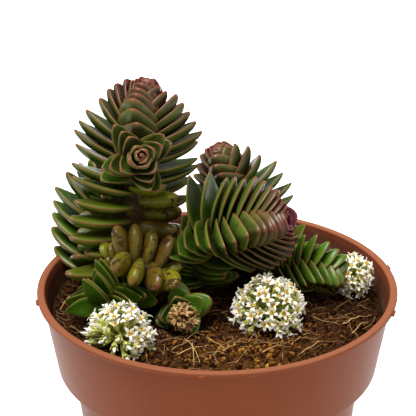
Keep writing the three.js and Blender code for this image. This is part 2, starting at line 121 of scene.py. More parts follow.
def buildMesh(name, places, faces, marks=None, materials=(), uses=None, smooth=True):
    mesh = bpy.data.meshes.new(name)
    mesh.vertices.add(len(places))
    mesh.vertices.foreach_set("co", (np.asarray(places, float) * mm).ravel())
    counts = np.concatenate([np.full(len(f), f.shape[1]) for f in faces])
    corners = np.concatenate([f.ravel() for f in faces])
    mesh.loops.add(len(corners))
    mesh.loops.foreach_set("vertex_index", corners.astype(np.int32))
    mesh.polygons.add(len(counts))
    starts = np.concatenate([[0], np.cumsum(counts)[:-1]])
    mesh.polygons.foreach_set("loop_start", starts.astype(np.int32))
    mesh.polygons.foreach_set("use_smooth", np.full(len(counts), smooth))
    if uses is not None:
        mesh.polygons.foreach_set("material_index", np.asarray(uses, np.int32))
    for mark, values in (marks or {}).items():
        layer = mesh.attributes.new(mark, "FLOAT", "POINT")
        layer.data.foreach_set("value", np.asarray(values, np.float32))
    mesh.update(calc_edges=True)
    for material in materials:
        mesh.materials.append(material)
    return mesh


def addPiece(name, mesh, slot, *nodes):
    piece = bpy.data.objects.new(name, mesh)
    bpy.context.scene.collection.objects.link(piece)
    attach(piece, "root")
    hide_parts(*nodes)
    return piece


# Rings of points joined into a closed skin. rings: (rings, points, 3). The ends close on their own middles.
def skin(rings):
    count, sides = rings.shape[:2]
    places = np.concatenate([rings.reshape(-1, 3), rings[0].mean(0)[None], rings[-1].mean(0)[None]])
    i = np.arange(sides)
    j = (i + 1) % sides
    quads = np.concatenate([
        np.stack([r * sides + i, r * sides + j, (r + 1) * sides + j, (r + 1) * sides + i], 1)
        for r in range(count - 1)
    ])
    root, tip = count * sides, count * sides + 1
    last = (count - 1) * sides
    ends = np.concatenate([
        np.stack([j, i, np.full(sides, root)], 1),
        np.stack([last + i, last + j, np.full(sides, tip)], 1),
    ])
    return places, quads, ends


# Gathers skins with their marks and materials into one mesh
class Gather:
    def __init__(self):
        self.places, self.quads, self.ends = [], [], []
        self.quadUses, self.endUses, self.marks = [], [], {}
        self.size = 0

    def add(self, rings, use=0, **marks):
        places, quads, ends = skin(rings)
        self.places.append(places)
        self.quads.append(quads + self.size)
        self.ends.append(ends + self.size)
        self.quadUses.append(np.full(len(quads), use))
        self.endUses.append(np.full(len(ends), use))
        for mark, values in marks.items():
            values = np.broadcast_to(values, rings.shape[:2])
            flat = np.concatenate([values.ravel(), [values[0].mean()], [values[-1].mean()]])
            self.marks.setdefault(mark, []).append(flat)
        self.size += len(places)

    def mesh(self, name, materials):
        faces = [np.concatenate(self.quads), np.concatenate(self.ends)]
        uses = np.concatenate(self.quadUses + self.endUses)
        marks = {mark: np.concatenate(values) for mark, values in self.marks.items()}
        return buildMesh(name, np.concatenate(self.places), faces, marks, materials, uses)


# Round tube along points, for stems, stalks and fibres
def tube(points, radii, sides=8):
    points = np.asarray(points, float)
    heads = np.gradient(points, axis=0)
    helper = np.array([0.0, 0.0, 1.0]) if abs(unit(heads.mean(0))[2]) < 0.9 else np.array([0.0, 1.0, 0.0])
    rings = []
    for point, head, radius in zip(points, heads, np.broadcast_to(radii, len(points))):
        side = unit(np.cross(helper, head))
        other = unit(np.cross(head, side))
        angles = np.arange(sides) * 2 * math.pi / sides
        rings.append(point + radius * (np.outer(np.cos(angles), side) + np.outer(np.sin(angles), other)))
    return np.array(rings)


# Succulent leaf: a thick waxy skin over wet tissue, so it is a deep, even green with soft broad highlights.
# The horny margin is a thin pinkish line, the youngest leaves are flushed purple by the sun, and the oldest
# ones are yellower, with dry corky scars.
leafLook = {
    "deepGreen": "#193008",
    "freshGreen": "#426514",
    "oldGreen": "#7d7a16",
    "bronze": "#5a380e",
    "flush": "#54202c",
    "margin": "#7a4a2a",
    "youngMargin": "#8a3040",
    "tip": "#7d2f2c",
    "scar": "#3a220d",
    "paleEdge": "#7c8c38",
    # The shade colour and its share below are painted shade at each leaf's foot, where the leaves crowd
    # round the stem
    "shade": "#0d1204",
    "baseShade": 0.45,   # how much of the shade a leaf has where it leaves the stem
    "patterns": {        # mm between features, detail and roughness of each noise
        "clouds": (9.0, 4.0, 0.5),      # lighter and darker patches
        "mottles": (2.4, 4.0, 0.6),     # the small ones
        "freckles": (0.9, 2.0, 0.5),    # the pores' faint dots
        "scars": (3.0, 5.0, 0.65),      # corky scars
    },
    "roughness": 0.27,
    "corkRoughness": 0.8,
    "specular": 0.34,
}


def leafMaterial():
    material, tree = startMaterial("waxySucculentSkin")
    mark = {
        name: addNode(tree, "ShaderNodeAttribute", {"attribute_name": name}).outputs["Fac"]
        for name in ("rim", "along", "youth", "age", "tone", "face", "flush")
    }
    place = addNode(tree, "ShaderNodeTexCoord").outputs["Object"]
    pattern = {}
    for name, (size, detail, roughness) in leafLook["patterns"].items():
        settings = {"Scale": perSize(size), "Detail": detail, "Roughness": roughness}
        pattern[name] = addNode(tree, "ShaderNodeTexNoise", settings, {"Vector": place}).outputs["Fac"]
    # Green, from the cloudy noise and each leaf's own tone
    toned = addNode(
        tree, "ShaderNodeMath", {"operation": "ADD"}, {0: pattern["clouds"], 1: mark["tone"]},
    )
    uneven = addNode(
        tree, "ShaderNodeMapRange", {"From Min": 0.3, "From Max": 0.7, "To Min": -0.28, "To Max": 0.28},
        {"Value": pattern["mottles"]},
    )
    patch = addNode(
        tree, "ShaderNodeMath", {"operation": "ADD"}, {0: toned.outputs[0], 1: uneven.outputs[0]},
    )
    fresh = addNode(
        tree, "ShaderNodeMapRange", {"From Min": 0.55, "From Max": 1.5}, {"Value": patch.outputs[0]},
    )
    green = addNode(
        tree, "ShaderNodeMix",
        {"data_type": "RGBA", 6: hexColor(leafLook["deepGreen"]), 7: hexColor(leafLook["freshGreen"])},
        {0: fresh.outputs[0]},
    )
    # Old leaves turn yellow, and some of them bronze
    browned = addNode(
        tree, "ShaderNodeMapRange", {"From Min": 0.5, "From Max": 1.05}, {"Value": patch.outputs[0]},
    )
    faded = addNode(
        tree, "ShaderNodeMix",
        {"data_type": "RGBA", 6: hexColor(leafLook["oldGreen"]), 7: hexColor(leafLook["bronze"])},
        {0: browned.outputs[0]},
    )
    yellow = addNode(
        tree, "ShaderNodeMix", {"data_type": "RGBA"},
        {0: mark["age"], 6: green.outputs[2], 7: faded.outputs[2]},
    )
    # Light shines through the thinner flesh beside the margin
    thin = addNode(
        tree, "ShaderNodeMapRange", {"From Min": 0.1, "From Max": 0.8, "To Max": 0.3},
        {"Value": mark["rim"]},
    )
    paler = addNode(
        tree, "ShaderNodeMix", {"data_type": "RGBA", 7: hexColor(leafLook["paleEdge"])},
        {0: thin.outputs[0], 6: yellow.outputs[2]},
    )
    # Purple flush, strongest towards the tips of the youngest leaves
    outer = addNode(
        tree, "ShaderNodeMapRange", {"From Min": 0.0, "From Max": 0.9, "To Min": 0.25, "To Max": 1.0},
        {"Value": mark["along"]},
    )
    inner = addNode(
        tree, "ShaderNodeMapRange", {"To Min": 0.6, "To Max": 1.0}, {"Value": mark["face"]},
    )
    sun = addNode(
        tree, "ShaderNodeMath", {"operation": "MULTIPLY"}, {0: outer.outputs[0], 1: inner.outputs[0]},
    )
    flushed = addNode(
        tree, "ShaderNodeMath", {"operation": "MULTIPLY", "use_clamp": True},
        {0: sun.outputs[0], 1: mark["flush"]},
    )
    purple = addNode(
        tree, "ShaderNodeMix", {"data_type": "RGBA", 7: hexColor(leafLook["flush"])},
        {0: flushed.outputs[0], 6: paler.outputs[2]},
    )
    # Margin line, tan on grown leaves and pink on young ones, and worn away in places
    line = addNode(
        tree, "ShaderNodeMix",
        {"data_type": "RGBA", 6: hexColor(leafLook["margin"]), 7: hexColor(leafLook["youngMargin"])},
        {0: mark["youth"]},
    )
    edge = addNode(
        tree, "ShaderNodeMapRange", {"From Min": 0.84, "From Max": 1.0, "interpolation_type": "SMOOTHSTEP"},
        {"Value": mark["rim"]},
    )
    kept = addNode(
        tree, "ShaderNodeMapRange", {"From Min": 0.35, "From Max": 0.55, "To Min": 0.45, "To Max": 0.9},
        {"Value": pattern["mottles"]},
    )
    worn = addNode(
        tree, "ShaderNodeMath", {"operation": "MULTIPLY"}, {0: edge.outputs[0], 1: kept.outputs[0]},
    )
    edged = addNode(
        tree, "ShaderNodeMix", {"data_type": "RGBA"},
        {0: worn.outputs[0], 6: purple.outputs[2], 7: line.outputs[2]},
    )
    point = addNode(
        tree, "ShaderNodeMapRange", {"From Min": 0.93, "From Max": 1.0, "To Max": 0.75},
        {"Value": mark["along"]},
    )
    tipped = addNode(
        tree, "ShaderNodeMix", {"data_type": "RGBA", 7: hexColor(leafLook["tip"])},
        {0: point.outputs[0], 6: edged.outputs[2]},
    )
    # Corky scars on the old ones
    limit = addNode(
        tree, "ShaderNodeMapRange", {"To Min": 0.80, "To Max": 0.49}, {"Value": mark["age"]},
    )
    above = addNode(
        tree, "ShaderNodeMath", {"operation": "SUBTRACT"}, {0: pattern["scars"], 1: limit.outputs[0]},
    )
    scarred = addNode(
        tree, "ShaderNodeMapRange", {"From Max": 0.04, "interpolation_type": "SMOOTHSTEP"},
        {"Value": above.outputs[0]},
    )
    marked = addNode(
        tree, "ShaderNodeMix", {"data_type": "RGBA", 7: hexColor(leafLook["scar"])},
        {0: scarred.outputs[0], 6: tipped.outputs[2]},
    )
    # Painted shade: darker towards each leaf's foot, where the leaves crowd round the stem and the gaps
    # between them lie in shade
    paintedFootShade = addNode(
        tree, "ShaderNodeMapRange", {"From Min": 0.42, "From Max": 0.0, "To Max": leafLook["baseShade"]},
        {"Value": mark["along"]},
    )
    color = addNode(
        tree, "ShaderNodeMix", {"data_type": "RGBA", 7: hexColor(leafLook["shade"])},
        {0: paintedFootShade.outputs[0], 6: marked.outputs[2]},
    )
    rough = addNode(
        tree, "ShaderNodeMapRange", {"To Min": leafLook["roughness"], "To Max": leafLook["corkRoughness"]},
        {"Value": scarred.outputs[0]},
    )
    grain = addNode(
        tree, "ShaderNodeBump", {"Strength": 0.25, "Distance": 0.12 * mm}, {"Height": pattern["freckles"]},
    )
    cork = addNode(
        tree, "ShaderNodeBump", {"Strength": 0.8, "Distance": 0.35 * mm},
        {"Height": scarred.outputs[0], "Normal": grain.outputs[0]},
    )
    shader = addNode(
        tree, "ShaderNodeBsdfPrincipled", {"IOR": 1.42, "Specular IOR Level": leafLook["specular"]},
        {"Base Color": color.outputs[2], "Roughness": rough.outputs[0], "Normal": cork.outputs[0]},
    )
    addNode(tree, "ShaderNodeOutputMaterial", links={"Surface": shader.outputs[0]})
    return material


# How a stem's tip grows. bud, sprout: share of the open angle and of the length that the youngest leaf has.
# unfold, lengthen: leaf lengths below the tip over which leaves open and grow, shaped by the powers.
# curl: how much more the youngest leaves arch, in degrees.
habits = {
    "loose": {
        "bud": 0.112, "unfold": 0.42, "unfoldPower": 1,
        "sprout": 0.375, "lengthen": 0.283, "lengthenPower": 1, "curl": 0,
    },
    "domed": {
        "bud": 0.2, "unfold": 0.36, "unfoldPower": 1.8,
        "sprout": 0.44, "lengthen": 0.45, "lengthenPower": 1.3, "curl": 20,
    },
    "starry": {
        "bud": 0.1, "unfold": 0.4, "unfoldPower": 1.3,
        "sprout": 0.42, "lengthen": 0.4, "lengthenPower": 1, "curl": 8,
    },
}
# The part's growth law. It stays the same as there, so that every leaf finds its own solid one.
growth = {
    "firstPair": 0.04,          # in leaf lengths below the tip
    "spreading": 2.6,           # how fast the pairs draw apart below the tip
    "untwisting": 1.25,         # how fast the pairs turn from the tip's direction to the foot's
    "ripening": (3.2, 0.7),     # how old leaves lose length: rate, and where it starts
    "settling": (2.6, 0.9),     # how old leaves sag and loosen
    "swelling": 3.5,
    "swollenBelow": 0.8,        # a rank cut shorter than this swells
    "leastGap": 0.5,            # between the leaves of a rank, measured across them
    "leastOpen": 18,            # the angle for that, at least
    "turnPlay": (6, 44),        # how irregularly leaves stand: any leaf, and more for a swollen one
    "openPlay": (1.2, 12),
    "fatPlay": 0.15,            # share of that in a stem of fat leaves
    "shortest": 0.95,
    "lengthPlay": 0.1,
    "archFirst": 0.4,           # share of the arch that the youngest leaf has
    "curlReach": 0.35,
    "coreFirst": 0.15,          # share of the core's radius at the tip
    "coreReach": 0.3,           # leaf lengths over which it fills out
    "shares": (1, 0.88, 0.76, 0.64, 0.52, 0.4),    # lengths tried for a leaf in a tight place
}
# Stems, as they grew in the part. path: root to growing point. facing: where the first rank looks.
# reach, width, depth: of full-grown leaves. pitch: between leaf pairs at the tip and lower down.
# bare: stem without leaves. open, arch: a full-grown leaf's angle to the stem, and how it bends back.
# turn, twist: where the pairs point. loosen, droop, pushed, slim: how the oldest leaves spread, sag, turn
# aside and narrow. old: share of length left in each rank's oldest. plump: how fast short old leaves swell.
# ripe: age of the tip's own leaves. core: the stem's radius.
# Only here: flush is the purple at the tip, and how far down it reaches in leaf lengths. yellow: of the
# oldest and the youngest leaves. bright: lifts or lowers a stem's green, partly for its own tone and
# partly as painted light and shade, darkest on the back-left stem, which stands in shade. rosy: reach of
# the pink margins. crowding, density: how close the pairs stand at the tip and all along. blunt: reach of
# the rounded young leaves.
# wrap: how wide leaves clasp the stem. chubby, slender: how round the older leaves are, and how narrow all.
# ragged: how far leaves stray from their rank, in degrees.
stems = {
    "stem_main": {
        "habit": "domed",
        "path": [(-39, 2, 92), (-36, 4, 112), (-32.5, 8, 140), (-29.5, 11.5, 162), (-28, 12, 174)],
        "reach": 31.5, "pitch": (0.8, 2.3), "bare": 19, "open": 84, "arch": 26, "turn": -45, "twist": 100,
        "loosen": 0.4, "droop": 20, "old": (0.64, 0.8, 0.9, 0.92), "plump": 7, "pushed": (46, 0, 0, 0),
        "slim": 0.3, "width": 16, "depth": 3.8, "core": 6.4,
        "flush": (0.95, 0.45), "yellow": (0.35, 0.0), "bright": -0.3,
        "crowding": 0.8, "chubby": 0.65, "ragged": 9,
    },
    "stem_front_rosette": {
        "habit": "starry",
        "path": [(-31, 1, 155), (-30.2, -6, 160.5), (-28.8, -13, 164.5)],
        "reach": 21, "pitch": (0.8, 1.7), "bare": 4, "open": 98, "arch": 30, "turn": 36, "twist": -24,
        "old": (1, 1, 1, 1), "width": 12.5, "depth": 2.2, "core": 4.5,
        "flush": (0.35, 0.5), "yellow": (0.0, 0.1), "rosy": 1.4,
        "blunt": 0.9, "wrap": 0.0, "ragged": 22, "slender": 0.78,
    },
    "stem_right_plume": {
        "path": [
            (-7, 12, 96), (-7.5, 9, 110), (-7, 4, 120), (-3.5, 0, 127.5),
            (4, -4, 131.5), (11, -6, 134), (17, -8, 136),
        ],
        "facing": (-0.7, 0, 0.7),
        "reach": 27, "pitch": (0.9, 2.1), "bare": 8, "open": 86, "arch": 26, "turn": -22, "twist": 0,
        "old": (0.95, 0.85, 0.7, 0.8), "width": 15, "depth": 3.1, "core": 6.5,
        "flush": (1.1, 0.55), "yellow": (0.05, 0.0), "density": 0.72, "bright": 0.05,
    },
    "stem_back_right": {
        "habit": "domed",
        "path": [(12, 31, 92), (11.5, 33, 112), (8.3, 34, 130), (3.3, 33.8, 142.8)],
        "reach": 25.5, "pitch": (1, 2.6), "bare": 12, "open": 82, "arch": 26, "turn": -24, "twist": 40,
        "old": (0.85, 1, 0.8, 0.85), "width": 14, "depth": 3.2, "core": 6.5, "crowding": 0.76,
        "flush": (0.85, 0.55), "yellow": (0.1, 0.0),
    },
    "stem_back_left": {
        "path": [(-47, 20, 92), (-48.5, 22, 108), (-48, 24, 124), (-45, 25, 138.5)],
        "reach": 24, "pitch": (1.2, 3.2), "bare": 8, "open": 88, "arch": 18, "turn": 10, "twist": -30,
        "droop": -16, "old": (0.95, 0.95, 0.95, 0.95), "width": 14, "depth": 4, "core": 6.5,
        "flush": (0.3, 0.3), "yellow": (0.1, 0.0), "bright": -0.3, "chubby": 0.6, "ragged": 10,
    },
    "stem_front_left": {
        "path": [(-31, -1, 94), (-33, -6, 105), (-37, -12, 109.5), (-43, -22, 109)],
        "reach": 18, "pitch": (1.5, 1.8), "bare": 11, "open": 92, "arch": 12, "turn": 4, "twist": 8,
        "old": (1, 1, 1, 1), "width": 9.8, "depth": 2.8, "core": 4, "ripe": 0.5,
        "flush": (0.0, 0.4), "yellow": (0.12, 0.0), "bright": 0.25,
        "density": 0.66, "chubby": 0.9, "slender": 0.9, "ragged": 26,
    },
    "stem_small_front": {
        "path": [(-13, -12, 94), (-12.5, -16, 102), (-12.5, -21, 106.5), (-12.8, -26, 107.5)],
        "reach": 13, "pitch": (1.6, 2.4), "bare": 8, "open": 92, "arch": 14, "turn": 15, "twist": 20,
        "old": (1, 1, 1, 1), "width": 9.5, "depth": 2.6, "core": 3,
        "flush": (0.0, 0.4), "yellow": (0.05, 0.0), "density": 0.7, "chubby": 0.6, "ragged": 14,
    },
    "stem_old_middle": {
        "path": [(-20, -8, 94), (-20.5, -11, 109), (-24, -13.5, 119), (-32, -14.5, 123), (-41, -12, 123)],
        "reach": 15.5, "pitch": (2.7, 2.7), "bare": 10, "open": 92, "arch": 8, "turn": 12, "twist": 0,
        "old": (1, 1, 1, 1), "width": 8.2, "depth": 5.8, "core": 3.6, "fat": True, "ripe": 0.4,
        "flush": (0.0, 0.4), "yellow": (0.95, 0.7), "bright": -0.1,
        "density": 0.78, "slender": 1.12, "ragged": 18,
    },
    "stem_low_right": {
        "path": [(22, 11, 94), (25, 9, 106), (34, 6.5, 111), (43.5, 5, 110)],
        "reach": 18, "pitch": (1.6, 2.1), "bare": 8, "open": 84, "arch": 20, "turn": 0, "twist": 10,
        "old": (1, 1, 1, 1), "width": 11.5, "depth": 2.6, "core": 4,
        "flush": (0.15, 0.4), "yellow": (0.05, 0.0), "bright": 0.3, "density": 0.6,
    },
    "stem_back_small": {
        "path": [(27, 36, 94), (27.5, 35, 105), (28, 33.5, 115)],
        "reach": 13, "pitch": (1.5, 2.5), "bare": 9, "open": 84, "arch": 20, "turn": 20, "twist": 20,
        "old": (1, 1, 1, 1), "width": 9, "depth": 2.4, "core": 3.5,
        "flush": (0.1, 0.4), "yellow": (0.3, 0.3),
    },
}
# How a leaf is shaped, by how blunt it is (young), how swollen (old and short) and how fat (of a fat stem)
foliage = {
    "tipFound": 0.25,      # how near a leaf's tip is to the part's, at most
    "stub": 0.3,           # a leaf that found no room stays as a stub against the stem
    "crowding": 0.45,      # how much closer the youngest pairs stand than in the part
    "crowdReach": 0.45,    # in leaf lengths
    "ragged": 4,           # degrees, where the stem doesn't say it
    "roll": 5,             # of a leaf about its own midrib
    "bluntest": 0.8,
    "bluntReach": 0.4,     # in leaf lengths
    "widest": 0.62,        # half width, as a share of the length
    "room": (0.6, 0.55),       # share of the way out that half a leaf may fill, and more where it clasps
    "coreRoom": (0.4, 0.5),    # the same for the stem's radius
    "claspRoom": 1.4,
    "fatRoom": 9,
    "swollenNarrower": 0.35,
    "swollenDeeper": 0.85,
    "chubbyDeeper": 0.6,
    "fill": (0.82, 0.5, 0.15),    # depth to the gap between leaves, and more for swollen and blunt ones
    "thinnest": 0.45,
    "edge": 0.4,               # thickness of a leaf's margin
    "edgeShare": 0.45,         # and its most, as a share of the depth
    "cup": (0.20, 0.25),       # how hollow the upper face is, and more for a blunt leaf
    "cupPower": 2.2,
    "crown": 0.22,             # rise of the upper face's middle, as a share of the depth
    "keel": 0.74,              # depth of the lower face's keel, as a share of the depth
    "keelLeast": 0.05,
    "keelPower": 1.6,
    "bulge": (0.9, -1.1),      # of a swollen leaf's upper and lower face
    "swollenRim": 0.7,         # how far the margin line fades on a swollen leaf
    "tipRim": 0.9,             # the line closes round the tip from here on
    "swollenYellow": 0.5,
    "rosy": 0.4,
}
# Where along a leaf its rings lie, and its width and depth there: pointed leaves, young and swollen ones
leafStations = np.array([-0.06, 0.04, 0.15, 0.28, 0.42, 0.56, 0.69, 0.80, 0.885, 0.945, 0.985])
leafWidths = np.array([0.55, 0.80, 0.93, 1.0, 0.99, 0.88, 0.69, 0.46, 0.27, 0.135, 0.035])
leafDepths = np.array([0.7, 0.9, 1.0, 1.0, 1.0, 0.97, 0.9, 0.78, 0.6, 0.4, 0.2])
youngWidths = np.array([0.55, 0.80, 0.93, 1.0, 1.0, 0.96, 0.88, 0.76, 0.60, 0.40, 0.14])
youngDepths = np.array([0.7, 0.9, 1.0, 1.0, 1.0, 1.0, 0.98, 0.94, 0.85, 0.7, 0.4])
fatWidths = np.array([0.5, 0.72, 0.88, 0.98, 1.02, 1.03, 0.98, 0.87, 0.70, 0.48, 0.22])
fatDepths = np.array([0.5, 0.65, 0.8, 0.93, 1.0, 1.02, 0.98, 0.86, 0.68, 0.46, 0.2])
# Round a leaf's section: across it from -1 to 1, the face (1 above, -1 below, 0 margin), the margin's mark
sectionAcross = np.array(
    [-1, -0.93, -0.6, -0.22, 0.22, 0.6, 0.93, 1, 0.93, 0.68, 0.36, 0, -0.36, -0.68, -0.93]
)
sectionFace = np.array([0, 1, 1, 1, 1, 1, 1, 0, -1, -1, -1, -1, -1, -1, -1])
sectionRim = np.array([1, 0.85, 0, 0, 0, 0, 0.85, 1, 0.85, 0, 0, 0, 0, 0, 0.85])


# Points on a smooth centripetal curve through the path, with the run along it
def smoothPath(points, steps=120):
    p = [np.array(q, float) for q in points]
    p = [2 * p[0] - p[1], *p, 2 * p[-1] - p[-2]]
    places = []
    for a, b, c, d in zip(p, p[1:], p[2:], p[3:]):
        before, here, after = [math.sqrt(np.linalg.norm(v)) for v in (b - a, c - b, d - c)]
        leave = ((b - a) / before - (c - a) / (before + here) + (c - b) / here) * here
        arrive = ((c - b) / here - (d - b) / (here + after) + (d - c) / after) * here
        for t in np.linspace(0, 1, steps, endpoint=False):
            places.append(
                (2 * t**3 - 3 * t**2 + 1) * b + (t**3 - 2 * t**2 + t) * leave
                + (3 * t**2 - 2 * t**3) * c + (t**3 - t**2) * arrive
            )
    places.append(p[-2])
    places = np.array(places)
    runs = np.concatenate([[0], np.cumsum(np.linalg.norm(np.diff(places, axis=0), axis=1))])
    return places, runs


# A stem's path, with the place and the directions along, to the front and aside at any run from its root
class StemPath:
    def __init__(self, stem):
        self.stem = stem
        self.places, self.runs = smoothPath(stem["path"])
        self.whole = self.runs[-1]
        self.heads = np.gradient(self.places, axis=0)
        rise = unit(self.places[-1] - self.places[0])[2]
        self.reference = np.array(stem.get("facing", (0, -1, 0) if rise > 0.85 else (0, 0, 1)), float)

    def at(self, run):
        run = clamp(run, 0, self.whole)
        place = np.array([np.interp(run, self.runs, self.places[:, k]) for k in range(3)])
        along = unit(np.array([np.interp(run, self.runs, self.heads[:, k]) for k in range(3)]))
        front = unit(self.reference - along * self.reference.dot(along))
        return place, along, front, np.cross(along, front)

    def turned(self, below):
        stem = self.stem
        return stem["turn"] + stem["twist"] * (1 - math.exp(-growth["untwisting"] * below / stem["reach"]))


# Every leaf of a stem by the part's growth law. crowding draws the youngest pairs closer together.
def growLeaves(stem, seed, crowding=0.0):
    path = StemPath(stem)
    reach = stem["reach"]
    leafy = path.whole - stem["bare"]
    fat = stem.get("fat", False)
    habit = habits[stem.get("habit", "loose")]
    leaves = []
    below, pair = growth["firstPair"] * reach, 0
    while below < leafy:
        place, along, front, side = path.at(path.whole - below)
        young = below / reach
        grown = young + stem.get("ripe", 0)
        age = below / leafy
        unfolding = (grown / habit["unfold"]) ** habit["unfoldPower"]
        ripeness = clamp(growth["ripening"][0] * age - growth["ripening"][1])
        settled = clamp(growth["settling"][0] * age - growth["settling"][1])
        opened = stem["open"] * (1 - (1 - habit["bud"]) * math.exp(-unfolding))
        opened += stem.get("droop", 0) * settled
        spread = 1 - math.exp(-growth["spreading"] * grown)
        step = stem["pitch"][0] + (stem["pitch"][1] - stem["pitch"][0]) * spread
        step *= 1 + stem.get("loosen", 0) * settled
        gap = 2 * max(step, growth["leastGap"] / math.sin(math.radians(max(opened, growth["leastOpen"]))))
        if crowding:
            closer = stem.get("crowding", crowding) * math.exp(-young / foliage["crowdReach"])
            gap = 2 * step * stem.get("density", 1) * (1 - closer)
        fan = math.radians(stem["open"]) * (1 - habit["bud"]) * math.exp(-unfolding) * unfolding
        fan *= habit["unfoldPower"] / grown * gap / reach
        for half in (0, 1):
            key = seed * 1000 + pair * 2 + half
            rank = pair % 2 + 2 * half
            old = 1 - (1 - stem["old"][rank]) * ripeness
            swelling = stem.get("plump", growth["swelling"])
            swell = 1.0 if fat else clamp(swelling * (growth["swollenBelow"] - old))
            pushed = stem["pushed"][rank] * settled if "pushed" in stem else 0
            turnPlay = growth["turnPlay"][0] + (growth["fatPlay"] if fat else swell) * growth["turnPlay"][1]
            openPlay = growth["openPlay"][0] + swell * growth["openPlay"][1]
            spin = path.turned(below) + 90 * (pair % 2) + 180 * half + pushed + turnPlay * (draw(key) - 0.5)
            spin = math.radians(spin)
            growing = (grown / habit["lengthen"]) ** habit["lengthenPower"]
            length = reach * (1 - (1 - habit["sprout"]) * math.exp(-growing)) * old
            curl = habit["curl"] * math.exp(-((grown / growth["curlReach"]) ** 2))
            leaves.append({
                "root": place,
                "along": along,
                "out": front * math.cos(spin) + side * math.sin(spin),
                "length": length * (growth["shortest"] + growth["lengthPlay"] * draw(key + 0.3)),
                "open": math.radians(opened + openPlay * (draw(key + 0.6) - 0.5)),
                "arch": math.radians(stem["arch"] * min(1, growth["archFirst"] + grown) + curl),
                "gap": gap,
                "fan": fan,
                "swell": swell,
                "fat": fat,
                "below": below,
                "rank": rank,
                "settled": settled,
                "grown": grown,
                "age": age,
                "key": key,
                "width": stem["width"] * (1 - stem.get("slim", 0) * settled),
                "core": stem["core"] * clamp(growth["coreFirst"] + young / growth["coreReach"]),
            })
        below += gap / 2
        pair += 1
    return leaves


flattest = 1e-4    # radians of arch, so that a straight leaf still divides


# Midrib points of a leaf at shares of its length, with the angle from the stem there
def midrib(leaf, shares):
    arch = max(leaf["arch"], flattest)
    angles = leaf["open"] - arch * shares
    up = (math.sin(leaf["open"]) - np.sin(angles)) / arch
    out = (np.cos(angles) - math.cos(leaf["open"])) / arch
    places = leaf["root"] + leaf["length"] * (np.outer(up, leaf["along"]) + np.outer(out, leaf["out"]))
    return places, angles


# Share of its length that the part left to each leaf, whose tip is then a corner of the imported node
def keptShares(node, leaves):
    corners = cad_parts[node].data.vertices
    tree = kdtree.KDTree(len(corners))
    for i, corner in enumerate(corners):
        tree.insert(corner.co / mm, i)
    tree.balance()
    kept = []
    for leaf in leaves:
        full = leaf["length"]
        found = 0.0
        for share in growth["shares"]:
            leaf["length"] = full * share
            if tree.find(midrib(leaf, np.array([1.0]))[0][0])[2] < foliage["tipFound"]:
                found = share
                break
        leaf["length"] = full
        kept.append((leaf["rank"], leaf["below"], found))
    print(node, "leaves found", sum(share > 0 for _, _, share in kept), "of", len(kept))
    return kept


# Turns a leaf a little from its rank
def strayLeaf(leaf, ragged):
    stray = math.radians(ragged) * (draw(leaf["key"] + 0.15) - 0.5)
    aside = np.cross(leaf["along"], leaf["out"])
    leaf["out"] = unit(leaf["out"] * math.cos(stray) + aside * math.sin(stray))
    leaf["open"] += 0.5 * math.radians(ragged) * (draw(leaf["key"] + 0.7) - 0.5)


# Rings of one leaf: a flat upper face and a keeled lower one, rounder where the leaf is swollen
def leafRings(leaf, stem):
    look = foliage
    s = leafStations
    strayLeaf(leaf, stem.get("ragged", look["ragged"]))
    places, angles = midrib(leaf, s)
    upper = np.outer(np.sin(angles), leaf["along"]) - np.outer(np.cos(angles), leaf["out"])
    across = np.cross(leaf["along"], leaf["out"])
    roll = math.radians(look["roll"]) * (draw(leaf["key"] + 0.8) - 0.5)
    acrossAll = across * math.cos(roll) + upper * math.sin(roll)
    upperAll = upper * math.cos(roll) - across * math.sin(roll)
    chubby = stem.get("chubby", 0) * leaf["settled"]
    blend = max(leaf["swell"], chubby)
    blunt = look["bluntest"] * math.exp(-((leaf["grown"] / stem.get("blunt", look["bluntReach"])) ** 2))
    widths = leafWidths * (1 - blunt) + youngWidths * blunt
    widths = widths * (1 - blend) + fatWidths * blend
    depths = leafDepths * (1 - blunt) + youngDepths * blunt
    depths = depths * (1 - blend) + fatDepths * blend
    # Width is held back near the stem, where the four ranks meet
    radial = leaf["length"] * (np.cos(angles) - math.cos(leaf["open"])) / max(leaf["arch"], flattest)
    wrap = stem.get("wrap", 1)
    room = np.maximum(radial, 0) * (look["room"][0] + look["room"][1] * wrap)
    room = room + leaf["core"] * (look["coreRoom"][0] + look["coreRoom"][1] * wrap)
    room = room + look["claspRoom"] * wrap + look["fatRoom"] * leaf["fat"]
    shrink = 1 if leaf["fat"] else 1 - look["swollenNarrower"] * leaf["swell"]
    half = np.minimum(leaf["width"] * stem.get("slender", 1) / 2 * widths * shrink, room)
    half = np.minimum(half, leaf["length"] * look["widest"] * widths)
    # Depth fills most of the room to the next leaf of the rank
    spacing = leaf["gap"] * math.sin(leaf["open"]) + leaf["length"] * leaf["fan"] * np.clip(s, 0, 1)
    most = stem["depth"] * (1 if leaf["fat"] else 1 + look["swollenDeeper"] * leaf["swell"])
    most += chubby * stem["depth"] * look["chubbyDeeper"]
    fill = look["fill"][0] + look["fill"][1] * blend + look["fill"][2] * blunt
    depth = np.clip(fill * spacing, look["thinnest"], most) * depths
    edge = np.minimum(look["edge"], look["edgeShare"] * depth)
    x = sectionAcross[None, :]
    h, d, e = half[:, None], depth[:, None], edge[:, None]
    cup = (look["cup"][0] + look["cup"][1] * blunt) * (1 - blend)
    middle = cup * h * np.abs(x) ** look["cupPower"]
    flat = middle + e / 2 + look["crown"] * d * (1 - x**4)
    keel = np.maximum(look["keel"] * d - e, look["keelLeast"]) * (1 - np.abs(x) ** look["keelPower"])
    sharp = np.where(sectionFace > 0, flat, np.where(sectionFace < 0, middle - e / 2 - keel, middle))
    bulge = np.where(sectionFace >= 0, *look["bulge"])
    swollen = d * 0.5 * np.sqrt(np.maximum(1 - x**2, 0)) * bulge
    lift = sharp * (1 - blend) + swollen * blend
    return (
        places[:, None, :]
        + acrossAll[:, None, :] * (h * x)[:, :, None]
        + upperAll[:, None, :] * lift[:, :, None]
    )


